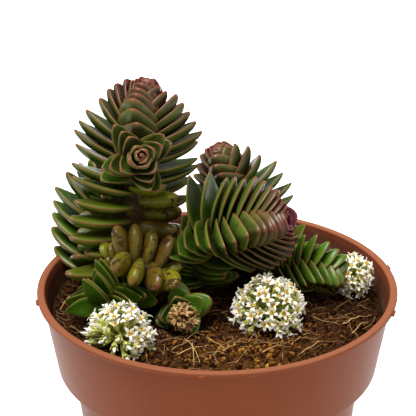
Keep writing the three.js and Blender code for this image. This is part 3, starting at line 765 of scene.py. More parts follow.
# The woody core that the leaves clasp, thinner towards the tip
core = {
    "runs": 14,
    "short": 0.12,      # how far it ends below the tip, in leaf lengths
    "taper": 0.5,       # leaf lengths over which it thins
    "thinnest": 0.15,
    "wider": 1.02,
    "sides": 12,
    "age": 0.9,
    "tone": 0.5,
}


def coreRings(stem):
    path = StemPath(stem)
    runs = np.linspace(0, path.whole - core["short"] * stem["reach"], core["runs"])
    shares = np.clip((path.whole - runs) / (core["taper"] * stem["reach"]), core["thinnest"], 1)
    return tube([path.at(run)[0] for run in runs], stem["core"] * shares * core["wider"], core["sides"])


def makeStem(name, seed, material):
    stem = stems[name]
    kept = keptShares(name, growLeaves(stem, seed))
    gather = Gather()
    leaves = growLeaves(stem, seed, foliage["crowding"])
    s = np.clip(leafStations, 0, 1)[:, None]
    tipRim = np.clip((s - foliage["tipRim"]) / (1 - foliage["tipRim"]), 0, 1)
    for leaf in leaves:
        share = min((abs(k[1] - leaf["below"]), k[2]) for k in kept if k[0] == leaf["rank"])[1]
        leaf["length"] *= share or foliage["stub"]
        yellow = stem["yellow"][1] + (stem["yellow"][0] - stem["yellow"][1]) * leaf["age"]
        if not leaf["fat"]:
            yellow += foliage["swollenYellow"] * leaf["swell"]
        gather.add(
            leafRings(leaf, stem),
            rim=np.maximum(sectionRim[None, :] * (1 - foliage["swollenRim"] * leaf["swell"]), tipRim),
            along=s,
            youth=math.exp(-leaf["grown"] / stem.get("rosy", foliage["rosy"])),
            age=clamp(yellow),
            # The stem's lift or drop of tone is partly its own colour and partly painted light and shade
            tone=draw(leaf["key"] + 0.45) + stem.get("bright", 0),
            face=(sectionFace[None, :] + 1) / 2,
            flush=stem["flush"][0] * math.exp(-((leaf["grown"] / stem["flush"][1]) ** 2)),
        )
    # The core is marked as a leaf's foot, so it takes the full painted shade as well as the old leaves'
    # brown
    gather.add(
        coreRings(stem),
        rim=0.0, along=0.0, youth=0.0, age=core["age"], tone=core["tone"], face=0.0, flush=0.0,
    )
    mesh = gather.mesh(name + "_leaves", [material])
    addPiece(name + "_leaves", mesh, "old_leaf" if stem.get("fat") else "leaf", name)
    return len(leaves), len(mesh.polygons)


leafSkin = leafMaterial()
for index, stemName in enumerate(stems):
    leafCount, faceCount = makeStem(stemName, index + 1, leafSkin)
    print(stemName, "leaves", leafCount, "faces", faceCount)


# Pot: injection-moulded polypropylene, smooth and satin, so its edges catch a soft light and its sides are
# even. The part's sizes, with the corners rounded as the mould leaves them.
pot = {
    "height": 108, "rim": 70, "rimWidth": 2.75, "rimDepth": 1.7,
    "collarTop": 68, "collarFoot": 63.2, "collarHeight": 32.2,
    "bodyTop": 57.4, "foot": 49, "footRing": 6, "footLift": 1.5, "wall": 1.4,
    "footSlope": 0.6,       # of the raised middle's edge
    "collarSlope": 0.8,     # of the step below the band
    "rounding": 0.55,
    "sides": 180,
    "holes": 6, "holeRadius": 4, "holeCircle": 28, "holeSides": 28,
    "holeHeights": (-3, 0.5, 3, 6),    # through the floor and clear of it
    "nibs": (12, -20, -94, -167),      # degrees round the rim, where the moulded nibs stand
    "nib": (1.8, 3.2, 1.1),            # its size outwards, along the rim and upwards
    "nibSunk": 0.2,
    "nibLift": 0.6,
    "brown": "#723414",
    "pale": "#80401f",
    "scuffed": "#b98d76",
    # The rim's top face is painted a paler brown, for the light it catches from above
    "paintedLipLight": "#7f4b32",
    # The inner face's colour and its share below are painted shade inside the wall
    "inside": "#452018",
    "insideShadeShare": 0.7,
    "insideDeep": 12,     # how far down from the rim the inner face is told from the outer one
    "insideSpare": 0.5,
    "lipLightFrom": 107.2,     # above this height the rim's top face is painted lighter, for the light it catches from above
    "dirt": "#53402f",
    "clouds": 30.0,       # mm between paler and darker areas
    "scratches": 2.2,     # mm between fine upright scratches
    "specks": 4.0,        # mm between specks of dirt
    "grain": 1.2,         # mm between the bumps of the moulded skin, coarser than life so that it shows
    "stain": (99.5, 107.5),    # height over which dirt fades out inside
    "roughness": 0.42,
    "scuffRoughness": 0.6,
    "specular": 0.12,
}


def wallRadius(z):
    collarFoot = pot["height"] - pot["collarHeight"]
    if z > collarFoot:
        share = (z - collarFoot) / pot["collarHeight"]
        return pot["collarFoot"] + (pot["collarTop"] - pot["collarFoot"]) * share - pot["wall"]
    return pot["foot"] + (pot["bodyTop"] - pot["foot"]) * z / collarFoot - pot["wall"]


# Rounds the corners of an outline, with a point on each side that keeps the flat stretches flat
def roundCorners(points, radius, steps=4):
    p = [np.array(q, float) for q in points]
    outline = []
    for a, b, c in zip(p, p[1:], p[2:]):
        before, after = np.linalg.norm(a - b), np.linalg.norm(c - b)
        cut, leave = min(radius, 0.4 * before), min(radius, 0.4 * after)
        start, end = b + unit(a - b) * cut, b + unit(c - b) * leave
        if before > 4 * cut:
            outline.append(b + unit(a - b) * 1.7 * cut)
        for t in np.linspace(0, 1, steps):
            outline.append((1 - t) ** 2 * start + 2 * t * (1 - t) * b + t**2 * end)
        if after > 4 * leave:
            outline.append(b + unit(c - b) * 1.7 * leave)
    return np.array(outline)


# An outline of radius and height, turned round the pot's axis
def latheRings(outline, sides):
    around = np.arange(sides) * 2 * math.pi / sides
    r, z = outline[:, 0, None], outline[:, 1, None]
    return np.stack([r * np.cos(around), r * np.sin(around), np.broadcast_to(z, (len(outline), sides))], 2)


def potMaterial():
    material, tree = startMaterial("satinTerracottaPolypropylene")
    place = addNode(tree, "ShaderNodeTexCoord").outputs["Object"]
    clouds = addNode(
        tree, "ShaderNodeTexNoise", {"Scale": perSize(pot["clouds"]), "Detail": 3.0}, {"Vector": place},
    )
    # Moulded colour drifts slowly between two browns
    brown = addNode(
        tree, "ShaderNodeMix", {"data_type": "RGBA", 6: hexColor(pot["brown"]), 7: hexColor(pot["pale"])},
        {0: clouds.outputs["Fac"]},
    )
    # Upright scratches from the nursery's trays: a few fine paler lines
    upright = addNode(tree, "ShaderNodeMapping", {"Scale": (1.0, 1.0, 0.07)}, {"Vector": place})
    lines = addNode(
        tree, "ShaderNodeTexNoise", {"Scale": perSize(pot["scratches"]), "Detail": 6.0, "Roughness": 0.7},
        {"Vector": upright.outputs[0]},
    )
    scratch = addNode(
        tree, "ShaderNodeMapRange", {"From Min": 0.66, "From Max": 0.74, "To Max": 0.5},
        {"Value": lines.outputs["Fac"]},
    )
    scuffed = addNode(
        tree, "ShaderNodeMix", {"data_type": "RGBA", 7: hexColor(pot["scuffed"])},
        {0: scratch.outputs[0], 6: brown.outputs[2]},
    )
    # Dirt on the inside, heaviest just above the soil
    parts = addNode(tree, "ShaderNodeSeparateXYZ", links={"Vector": place})
    low = addNode(
        tree, "ShaderNodeMapRange",
        {"From Min": pot["stain"][1] * mm, "From Max": pot["stain"][0] * mm},
        {"Value": parts.outputs["Z"]},
    )
    flat = addNode(tree, "ShaderNodeVectorMath", {"operation": "MULTIPLY", 1: (1, 1, 0)}, {0: place})
    away = addNode(tree, "ShaderNodeVectorMath", {"operation": "LENGTH"}, {0: flat.outputs[0]})
    # The wall's inner face is nearer to the axis than the outer one at every height above the soil
    deepest = pot["height"] - pot["insideDeep"]
    lean = addNode(
        tree, "ShaderNodeMapRange",
        {
            "From Min": deepest * mm, "To Min": (wallRadius(deepest) + pot["insideSpare"]) * mm,
            "From Max": pot["height"] * mm, "To Max": (wallRadius(pot["height"]) + pot["insideSpare"]) * mm,
        },
        {"Value": parts.outputs["Z"]},
    )
    near = addNode(
        tree, "ShaderNodeMath", {"operation": "LESS_THAN"}, {0: away.outputs["Value"], 1: lean.outputs[0]},
    )
    high = addNode(
        tree, "ShaderNodeMath", {"operation": "GREATER_THAN", 1: deepest * mm}, {0: parts.outputs["Z"]},
    )
    inside = addNode(
        tree, "ShaderNodeMath", {"operation": "MULTIPLY"}, {0: near.outputs[0], 1: high.outputs[0]},
    )
    specks = addNode(
        tree, "ShaderNodeTexNoise", {"Scale": perSize(pot["specks"]), "Detail": 7.0, "Roughness": 0.7},
        {"Vector": place},
    )
    patchy = addNode(
        tree, "ShaderNodeMapRange", {"From Min": 0.3, "From Max": 0.62}, {"Value": specks.outputs["Fac"]},
    )
    lowInside = addNode(
        tree, "ShaderNodeMath", {"operation": "MULTIPLY"}, {0: low.outputs[0], 1: inside.outputs[0]},
    )
    dirty = addNode(
        tree, "ShaderNodeMath", {"operation": "MULTIPLY"}, {0: lowInside.outputs[0], 1: patchy.outputs[0]},
    )
    # Painted light: the rim's top face is mixed to a paler brown, for the light it catches from above
    paintedLipLight = addNode(
        tree, "ShaderNodeMapRange", {"From Min": pot["lipLightFrom"] * mm, "From Max": pot["height"] * mm},
        {"Value": parts.outputs["Z"]},
    )
    withLipLight = addNode(
        tree, "ShaderNodeMix", {"data_type": "RGBA", 7: hexColor(pot["paintedLipLight"])},
        {0: paintedLipLight.outputs[0], 6: scuffed.outputs[2]},
    )
    # Painted shade: the inner face is mixed towards a dark maroon, for the shade inside the wall
    inner = addNode(
        tree, "ShaderNodeMath", {"operation": "MULTIPLY", 1: pot["insideShadeShare"]}, {0: inside.outputs[0]},
    )
    shaded = addNode(
        tree, "ShaderNodeMix", {"data_type": "RGBA", 7: hexColor(pot["inside"])},
        {0: inner.outputs[0], 6: withLipLight.outputs[2]},
    )
    color = addNode(
        tree, "ShaderNodeMix", {"data_type": "RGBA", 7: hexColor(pot["dirt"])},
        {0: dirty.outputs[0], 6: shaded.outputs[2]},
    )
    wear = addNode(
        tree, "ShaderNodeMapRange",
        {"From Max": 0.5, "To Min": pot["roughness"], "To Max": pot["scuffRoughness"]},
        {"Value": scratch.outputs[0]},
    )
    rough = addNode(
        tree, "ShaderNodeMath", {"operation": "MULTIPLY_ADD", 1: 0.4},
        {0: dirty.outputs[0], 2: wear.outputs[0]},
    )
    grain = addNode(
        tree, "ShaderNodeTexNoise", {"Scale": perSize(pot["grain"]), "Detail": 2.0}, {"Vector": place},
    )
    bump = addNode(
        tree, "ShaderNodeBump", {"Strength": 0.12, "Distance": 0.08 * mm}, {"Height": grain.outputs["Fac"]},
    )
    shader = addNode(
        tree, "ShaderNodeBsdfPrincipled", {"IOR": 1.49, "Specular IOR Level": pot["specular"]},
        {"Base Color": color.outputs[2], "Roughness": rough.outputs[0], "Normal": bump.outputs[0]},
    )
    addNode(tree, "ShaderNodeOutputMaterial", links={"Surface": shader.outputs[0]})
    return material


def potOutline():
    collarFoot = pot["height"] - pot["collarHeight"]
    under = pot["height"] - pot["rimDepth"]
    floor = pot["footLift"] + pot["wall"]
    ring = pot["foot"] - pot["footRing"]
    outside = [
        (0, pot["footLift"]),
        (ring, pot["footLift"]),
        (ring + pot["footSlope"], 0),
        (pot["foot"], 0),
        (pot["bodyTop"], collarFoot - pot["collarSlope"]),
        (pot["collarFoot"], collarFoot),
        (pot["collarTop"], under),
        (pot["rim"], under),
        (pot["rim"], pot["height"]),
    ]
    inside = [
        (pot["rim"] - pot["rimWidth"], pot["height"]),
        (wallRadius(under - 1), under - 1),
        (wallRadius(collarFoot + 2), collarFoot + 2),
        (wallRadius(collarFoot), collarFoot + pot["wall"] - 1),
        (pot["foot"] - pot["wall"], floor),
        (0, floor),
    ]
    return roundCorners(outside + inside, pot["rounding"])


# The two ends of a nib, as rings across it
def nibRings(angle):
    across, wide, tall = pot["nib"]
    out = np.array([math.cos(angle), math.sin(angle), 0])
    side = np.array([-math.sin(angle), math.cos(angle), 0])
    up = np.array([0, 0, 1])
    middle = out * (pot["rim"] - pot["nibSunk"]) + up * (pot["height"] - pot["rimDepth"] + pot["nibLift"])
    corners = [(-0.5, -0.5), (0.5, -0.5), (0.5, 0.5), (-0.5, 0.5)]
    section = [out * across * x + up * tall * z for x, z in corners]
    return np.array([[middle + side * wide * y + corner for corner in section] for y in (-0.5, 0.5)])


# Drainage holes, cut out of the finished shell
def cutHoles(piece):
    holes = Gather()
    for i in range(pot["holes"]):
        a = i * 2 * math.pi / pot["holes"]
        x, y = pot["holeCircle"] * math.cos(a), pot["holeCircle"] * math.sin(a)
        holes.add(tube([(x, y, z) for z in pot["holeHeights"]], pot["holeRadius"], pot["holeSides"]))
    cutter = bpy.data.objects.new("holeCutter", holes.mesh("holeCutter", []))
    bpy.context.scene.collection.objects.link(cutter)
    cut = piece.modifiers.new("holes", "BOOLEAN")
    cut.operation = "DIFFERENCE"
    cut.object = cutter
    graph = bpy.context.evaluated_depsgraph_get()
    piece.data = bpy.data.meshes.new_from_object(piece.evaluated_get(graph))
    piece.modifiers.clear()
    bpy.data.objects.remove(cutter)


def makePot():
    gather = Gather()
    gather.add(latheRings(potOutline(), pot["sides"]))
    for angle in pot["nibs"]:
        gather.add(nibRings(math.radians(angle)))
    piece = addPiece("potShell", gather.mesh("potShell", [potMaterial()]), "pot", "pot")
    cutHoles(piece)
    return len(piece.data.polygons)


print("pot faces", makePot())


# Soil: crumbs of peat and bark over a crumbly ground, with coir fibres lying across
soil = {
    "depth": 9.5,
    "spare": 0.75,          # between soil and wall
    "lifts": (1.7, 1.2, 2.7),    # of the ground's lower corners above the floor and the band's foot
    "lowTone": 0.2,
    "rings": 120,
    "sides": 400,
    "relief": 1.3,          # height of the ground's own lumps
    "coarse": 5.0,          # mm between them, and between the small ones
    "fine": 1.3,
    "sunk": 0.6,            # the ground lies below the part's surface, and the crumbs fill it up
    "crumbs": 8200,
    "crumbSize": (0.25, 0.95),
    "crumbMargin": 0.8,     # kept free beside the wall
    "lumps": 600,
    "lumpSize": (0.6, 1.25),
    "lumpMargin": 2.2,
    "lumpShape": (1.25, 0.85, 0.6),
    "lumpPlay": (0.65, 1.25),
    "lumpTone": (0.5, 0.36),    # mean and spread, from dark peat to pale bark
    "perch": 0.35,          # a lump's middle above the ground, in its own sizes
    "perchPlay": 0.5,
    "perchSunk": 0.3,       # share of that play that sinks it
    "fibres": 340,
    "fibreMargin": 1.5,
    "fibreBend": 0.8,       # radians, give or take
    "fibreWave": 0.3,
    "fibreLift": (0.7, 1.5),
    "fibreBow": 0.11,       # most height of its middle, as a share of its length
    "fibreTaper": 0.6,
    "fibreRadius": (0.08, 0.19),
    "fibreLength": (4, 20),
    "straws": (
        (-12, -35, -6, -57), (-14, -50, -3, -44), (-9, -41, -8, -58), (16, -51, 24, -43),
        (47, -26, 59, -14), (30, -48, 39, -38), (-58, 5, -61, -9), (2, -50, 7, -45),
        (50, -31, 57, -21), (-4, -36, 3, -49),
    ),                      # the longer ones that can be told apart, each from x, y to x, y
    "strawRadius": 0.22,
    "strawWave": 0.5,
    "strawLift": 1.3,
    "strawBow": 0.8,
    "strawTaper": 0.5,
    "sunny": (12, -50, 80),    # where the soil is driest and painted most lit, and how far that reaches
    "darkPeat": "#0e0703",
    "peat": "#563212",
    "bark": "#aa7530",
    "straw": "#c49c62",
    "oldStraw": "#6b4a24",
    "grain": 0.8,           # mm between the grains of a crumb
}


# The part's own surface: low at the left and right, heaped towards the front
def soilHeight(x, y):
    level = pot["height"] - soil["depth"]
    heap = 6 * np.exp(-((x - 8) ** 2 / 1500 + (y + 52) ** 2 / 500))
    right = 3 * np.exp(-((x - 45) ** 2 / 300 + (y + 20) ** 2 / 300))
    crumbs = 0.7 * np.sin(x * 0.55 + 2 * np.sin(y * 0.31)) * np.cos(y * 0.6 + 1.5 * np.sin(x * 0.27))
    return level + heap + right + crumbs


# Partly moisture and partly painted light and shade: darker round the stems and by the wall, where the soil
# is moist and shaded, and lighter on the dry, lit heap in front
def dryAndLit(x, y):
    centreX, centreY, reach = soil["sunny"]
    return np.clip(1.08 - np.hypot(x - centreX, y - centreY) / reach, 0.35, 1)


# Peat and bark crumbs are broken, dull and moist, so they take the light softly and go nearly black between
def soilMaterial():
    material, tree = startMaterial("moistPeatAndBark")
    tone = addNode(tree, "ShaderNodeAttribute", {"attribute_name": "tone"}).outputs["Fac"]
    place = addNode(tree, "ShaderNodeTexCoord").outputs["Object"]
    grain = addNode(
        tree, "ShaderNodeTexNoise", {"Scale": perSize(soil["grain"]), "Detail": 6.0, "Roughness": 0.65},
        {"Vector": place},
    )
    mottled = addNode(
        tree, "ShaderNodeMath", {"operation": "MULTIPLY_ADD", 1: 0.7, 2: -0.35}, {0: grain.outputs["Fac"]},
    )
    mixed = addNode(
        tree, "ShaderNodeMath", {"operation": "ADD", "use_clamp": True}, {0: tone, 1: mottled.outputs[0]},
    )
    ramp = addNode(tree, "ShaderNodeValToRGB", links={"Fac": mixed.outputs[0]})
    ramp.color_ramp.elements[0].color = hexColor(soil["darkPeat"])
    ramp.color_ramp.elements[1].color = hexColor(soil["bark"])
    middle = ramp.color_ramp.elements.new(0.5)
    middle.color = hexColor(soil["peat"])
    bump = addNode(
        tree, "ShaderNodeBump", {"Strength": 0.7, "Distance": 0.3 * mm}, {"Height": grain.outputs["Fac"]},
    )
    shader = addNode(
        tree, "ShaderNodeBsdfPrincipled", {"Roughness": 0.88, "Specular IOR Level": 0.1},
        {"Base Color": ramp.outputs[0], "Normal": bump.outputs[0]},
    )
    addNode(tree, "ShaderNodeOutputMaterial", links={"Surface": shader.outputs[0]})
    return material


# Coir is a dry, hard straw: pale, with a faint shine along it
def fibreMaterial():
    material, tree = startMaterial("dryCoirFibre")
    tone = addNode(tree, "ShaderNodeAttribute", {"attribute_name": "tone"}).outputs["Fac"]
    place = addNode(tree, "ShaderNodeTexCoord").outputs["Object"]
    worn = addNode(tree, "ShaderNodeTexNoise", {"Scale": perSize(3.0), "Detail": 3.0}, {"Vector": place})
    share = addNode(
        tree, "ShaderNodeMath", {"operation": "MULTIPLY"}, {0: tone, 1: worn.outputs["Fac"]},
    )
    doubled = addNode(
        tree, "ShaderNodeMath", {"operation": "MULTIPLY", 1: 1.8, "use_clamp": True}, {0: share.outputs[0]},
    )
    color = addNode(
        tree, "ShaderNodeMix",
        {"data_type": "RGBA", 6: hexColor(soil["oldStraw"]), 7: hexColor(soil["straw"])},
        {0: doubled.outputs[0]},
    )
    shader = addNode(
        tree, "ShaderNodeBsdfPrincipled", {"Roughness": 0.6, "Specular IOR Level": 0.35},
        {"Base Color": color.outputs[2]},
    )
    addNode(tree, "ShaderNodeOutputMaterial", links={"Surface": shader.outputs[0]})
    return material


def ball(subdivisions):
    shape = bmesh.new()
    bmesh.ops.create_icosphere(shape, subdivisions=subdivisions, radius=1)
    corners = np.array([v.co for v in shape.verts])
    faces = np.array([[v.index for v in f.verts] for f in shape.faces])
    shape.free()
    return corners, faces


def discSpots(rng, count, edge):
    around = rng.uniform(0, 2 * math.pi, count)
    away = edge * np.sqrt(rng.uniform(0, 1, count))
    return away * np.cos(around), away * np.sin(around)


# Angular lumps of random size and turn, strewn on the soil
def strewn(rng, count, sizes, subdivisions, edge):
    corners, faces = ball(subdivisions)
    x, y = discSpots(rng, count, edge)
    size = sizes[0] + (sizes[1] - sizes[0]) * rng.uniform(0, 1, count) ** 2
    turns = np.linalg.qr(rng.normal(size=(count, 3, 3)))[0]
    shape = corners[None] * rng.uniform(*soil["lumpPlay"], (count, len(corners), 1)) * soil["lumpShape"]
    shape = np.einsum("nij,nkj->nki", turns, shape) * size[:, None, None]
    play = soil["perchPlay"] * (rng.uniform(0, 1, count) - soil["perchSunk"])
    height = soilHeight(x, y) + soil["perch"] * size + play
    shape += np.stack([x, y, height], 1)[:, None, :]
    faces = faces[None] + (np.arange(count) * len(corners))[:, None, None]
    # Crumb tone darkens with moisture and with painted shade away from the lit heap
    tone = np.repeat(np.clip(rng.normal(*soil["lumpTone"], count), 0, 1) * dryAndLit(x, y), len(corners))
    return shape.reshape(-1, 3), faces.reshape(-1, 3), tone


def soilEdge():
    return wallRadius(pot["height"] - soil["depth"]) - soil["spare"]


# The ground: down the wall at its edge, and lumpy on top
def makeGround(earth):
    collarFoot = pot["height"] - pot["collarHeight"]
    around = np.arange(soil["sides"]) * 2 * math.pi / soil["sides"]
    low, middle, high = soil["lifts"]
    sides = [
        (pot["foot"] - pot["wall"], pot["footLift"] + pot["wall"] + low),
        (wallRadius(collarFoot), collarFoot + middle),
        (wallRadius(collarFoot + 2), collarFoot + high),
    ]
    rings = []
    for radius, z in sides:
        r = radius - soil["spare"]
        rings.append(np.stack([r * np.cos(around), r * np.sin(around), np.full(len(around), z)], 1))
    tones = [np.full(len(around), soil["lowTone"])] * len(sides)
    wide, close = soil["coarse"], soil["fine"]
    for share in np.linspace(1, 0.004, soil["rings"]):
        x, y = soilEdge() * share * np.cos(around), soilEdge() * share * np.sin(around)
        coarse = np.array([noise.fractal((a / wide, b / wide, 0.0), 0.8, 2.1, 4) for a, b in zip(x, y)])
        fine = np.array([noise.fractal((a / close, b / close, 7.0), 0.9, 2.0, 3) for a, b in zip(x, y)])
        rise = soil["relief"] * (0.6 * coarse + 0.35 * fine) - soil["sunk"]
        rings.append(np.stack([x, y, soilHeight(x, y) + rise], 1))
        # Ground tone darkens with moisture and with painted shade away from the lit heap
        tones.append(np.clip(0.3 + 0.25 * fine, 0, 1) * dryAndLit(x, y))
    gather = Gather()
    gather.add(np.array(rings), tone=np.array(tones))
    mesh = gather.mesh("soilGround", [earth])
    addPiece("soilGround", mesh, "soil", "soil")
    return len(mesh.polygons)


def makeSoil():
    earth = soilMaterial()
    counts = [makeGround(earth)]
    rng = np.random.default_rng(17)
    for name, count, sizes, subdivisions, margin in (
        ("soilCrumbs", soil["crumbs"], soil["crumbSize"], 1, soil["crumbMargin"]),
        ("barkLumps", soil["lumps"], soil["lumpSize"], 2, soil["lumpMargin"]),
    ):
        places, faces, tone = strewn(rng, count, sizes, subdivisions, soilEdge() - margin)
        mesh = buildMesh(name, places, [faces], {"tone": tone}, [earth], smooth=False)
        addPiece(name, mesh, "soil")
        counts.append(len(faces))
    return counts


def makeFibres():
    rng = np.random.default_rng(29)
    edge = soilEdge() - soil["fibreMargin"]
    gather = Gather()
    xs, ys = discSpots(rng, soil["fibres"], edge)
    shares = np.linspace(0, 1, 10)
    for x, y in zip(xs, ys):
        length = rng.uniform(*soil["fibreLength"]) * rng.uniform(0.4, 1)
        heading = rng.uniform(0, 2 * math.pi) + rng.normal(0, soil["fibreBend"]) * shares
        heading = heading + soil["fibreWave"] * np.sin(shares * rng.uniform(3, 9))
        step = length / (len(shares) - 1)
        px = x + np.cumsum(np.cos(heading)) * step
        py = y + np.cumsum(np.sin(heading)) * step
        off = np.maximum(np.hypot(px, py) / edge, 1)
        px, py = px / off, py / off
        lift = rng.uniform(*soil["fibreLift"])
        bow = rng.uniform(0, soil["fibreBow"]) * length * np.sin(shares * math.pi * rng.uniform(0.5, 1.1))
        points = np.stack([px, py, soilHeight(px, py) + (lift + bow)], 1)
        radius = rng.uniform(*soil["fibreRadius"]) * (1 - soil["fibreTaper"] * shares)
        # Fibre tone darkens with moisture and with painted shade away from the lit heap
        gather.add(tube(points, radius, 5), tone=rng.uniform(0.2, 1) * float(dryAndLit(x, y)))
    shares = np.linspace(0, 1, 8)
    for fromX, fromY, toX, toY in soil["straws"]:
        px, py = fromX + (toX - fromX) * shares, fromY + (toY - fromY) * shares
        py += soil["strawWave"] * np.sin(shares * 3 + fromX)
        lift = soil["strawLift"] + soil["strawBow"] * np.sin(shares * math.pi)
        points = np.stack([px, py, soilHeight(px, py) + lift], 1)
        gather.add(tube(points, soil["strawRadius"] * (1 - soil["strawTaper"] * shares), 5), tone=1.0)
    mesh = gather.mesh("coirFibres", [fibreMaterial()])
    addPiece("coirFibres", mesh, "soil")
    return len(mesh.polygons)


print("soil faces", makeSoil(), "fibres", makeFibres())


# Flower heads, as they stand in the part, with more florets. spread: how far round the ball they grow.
# closing: which way the florets look that are still in bud.
heads = {
    "flowers_front_right": {
        "centre": (19.3, -21.5, 106.5), "radius": 14.5, "axis": (0.15, -0.6, 0.8), "spread": 150,
        "florets": 128, "stalk": (10, -9, 94), "petal": 3.1,
    },
    "flowers_front_left": {
        "centre": (-35.5, -39.8, 105.3), "radius": 13.5, "axis": (0.5, 0.3, 0.8), "spread": 140,
        "florets": 112, "stalk": (-41.5, -24, 107.5), "petal": 3.1, "closing": (-0.75, -0.62, -0.2),
    },
    "flowers_right": {
        "centre": (53.5, 7, 107), "radius": 9.3, "axis": (0.2, -0.6, 0.7), "spread": 150, "florets": 64,
        "stalk": (44, 5.5, 109.5), "petal": 3.0,
    },
    "flowers_dried": {
        "centre": (-12.8, -30, 108.5), "radius": 5.5, "axis": (0.1, -0.7, 0.7), "spread": 120,
        "florets": 17, "stalk": (-12.8, -25, 107.3), "petal": 3.3, "dried": True,
    },
}
floretLook = {
    "petals": 5,
    "petalWidths": (0.62, 0.92, 1.0, 0.92, 0.66, 0.2),
    "petalWidth": 1.4,
    "petalDepth": 0.2,
    "petalFoot": 0.4,           # from the floret's axis
    "channel": 0.35,            # how far the petal's edges fold up
    "open": (10, 92),           # a petal's angle to the floret's axis at its foot and its tip
    "bud": (2, -8),
    "sway": (16, 110),          # how much those two angles differ among petals
    "curled": (20, 10, 110),    # a dried petal's: most at the foot, least and play at the tip
    "driedNarrower": 0.85,
    "sepal": (2.3, 1.15, 0.35),    # length, width and depth
    "sepalBend": (10, 16),
    "sepalWidths": (0.9, 1.0, 0.75, 0.15),
    "sepalPlace": (1.9, 0.45),     # below the floret's heart, and out from its axis
    "budFatness": 1.7,             # a closed floret's swollen calyx, against an open one's
    "sunk": (2.6, 1.9),            # how deep the heart sits below the head's surface: open, and closed
    "neck": (2.6, 1.2, 0),         # stations below the heart where the neck widens, and the radii there
    "neckRadii": (0.35, 0.5, 0.72, 0.75),
    "anther": (-0.5, 0, 0.45),     # stations along it, and the radii there
    "antherRadii": (0.12, 0.36, 0.15),
    "lean": 0.5,                   # how unevenly florets lean and stand
    "scatter": 0.26,
    "white": "#f1ecd9",
    "throat": "#d6cc6a",
    "calyx": "#d6d67c",
    "calyxShade": "#a0a343",
    "pollen": "#dcb62c",
    "pollenShade": "#b8901c",
    "withered": "#cfa874",
    "witheredShade": "#8f6234",
    "witheredCalyx": "#8c6a36",
    "witheredCalyxShade": "#4d3216",
}


# Fresh petals: thin, wet and matte, so they are creamy white, greener at the throat, and bright in shade
def petalMaterial():
    material, tree = startMaterial("creamyPetal")
    along = addNode(tree, "ShaderNodeAttribute", {"attribute_name": "along"}).outputs["Fac"]
    place = addNode(tree, "ShaderNodeTexCoord").outputs["Object"]
    cells = addNode(tree, "ShaderNodeTexNoise", {"Scale": perSize(0.7), "Detail": 3.0}, {"Vector": place})
    foot = addNode(
        tree, "ShaderNodeMapRange", {"From Min": 0.55, "From Max": 0.0, "To Max": 0.9}, {"Value": along},
    )
    color = addNode(
        tree, "ShaderNodeMix",
        {"data_type": "RGBA", 6: hexColor(floretLook["white"]), 7: hexColor(floretLook["throat"])},
        {0: foot.outputs[0]},
    )
    bump = addNode(
        tree, "ShaderNodeBump", {"Strength": 0.2, "Distance": 0.08 * mm}, {"Height": cells.outputs["Fac"]},
    )
    shader = addNode(
        tree, "ShaderNodeBsdfPrincipled",
        {
            "Roughness": 0.5, "IOR": 1.4, "Subsurface Weight": 0.35, "Subsurface Scale": 0.8 * mm,
            "Subsurface Radius": (1.0, 0.9, 0.6),
        },
        {"Base Color": color.outputs[2], "Normal": bump.outputs[0]},
    )
    addNode(tree, "ShaderNodeOutputMaterial", links={"Surface": shader.outputs[0]})
    return material


# Calyx, pollen and withered petals: dull plant skin, uneven between a shade and a lighter tone
def mottledMaterial(name, dark, light, size, roughness):
    material, tree = startMaterial(name)
    place = addNode(tree, "ShaderNodeTexCoord").outputs["Object"]
    cloud = addNode(tree, "ShaderNodeTexNoise", {"Scale": perSize(size), "Detail": 4.0}, {"Vector": place})
    spread = addNode(
        tree, "ShaderNodeMapRange", {"From Min": 0.3, "From Max": 0.7}, {"Value": cloud.outputs["Fac"]},
    )
    color = addNode(
        tree, "ShaderNodeMix", {"data_type": "RGBA", 6: hexColor(dark), 7: hexColor(light)},
        {0: spread.outputs[0]},
    )
    bump = addNode(
        tree, "ShaderNodeBump", {"Strength": 0.3, "Distance": 0.1 * mm}, {"Height": cloud.outputs["Fac"]},
    )
    shader = addNode(
        tree, "ShaderNodeBsdfPrincipled", {"Roughness": roughness, "IOR": 1.4},
        {"Base Color": color.outputs[2], "Normal": bump.outputs[0]},
    )
    addNode(tree, "ShaderNodeOutputMaterial", links={"Surface": shader.outputs[0]})
    return material


# One petal or sepal: a thin channelled strip that bends from its foot to its tip
def petalRings(foot, axis, out, length, width, depth, bend, widths):
    shares = np.linspace(0, 1, len(widths))
    angles = np.radians(bend[0] + (bend[1] - bend[0]) * shares)
    steps = np.diff(shares, prepend=0) * length
    rise = np.outer(np.cumsum(np.cos(angles) * steps), axis)
    middle = foot + rise + np.outer(np.cumsum(np.sin(angles) * steps), out)
    upper = np.outer(np.sin(angles), axis) - np.outer(np.cos(angles), out)
    across = np.cross(axis, out)
    around = np.arange(8) * math.pi / 4
    x, y = np.cos(around), np.sin(around)
    half = width / 2 * np.array(widths)
    lift = depth / 2 * y[None, :] + floretLook["channel"] * half[:, None] * x[None, :] ** 2
    sideways = across * (half[:, None] * x)[:, :, None]
    return middle[:, None, :] + sideways + upper[:, None, :] * lift[:, :, None]


def inBud(head, direction, key):
    if "closing" not in head:
        return False
    facing = direction.dot(unit(np.array(head["closing"])))
    return bool(facing > 0.25 + 0.3 * draw(key + 0.2))


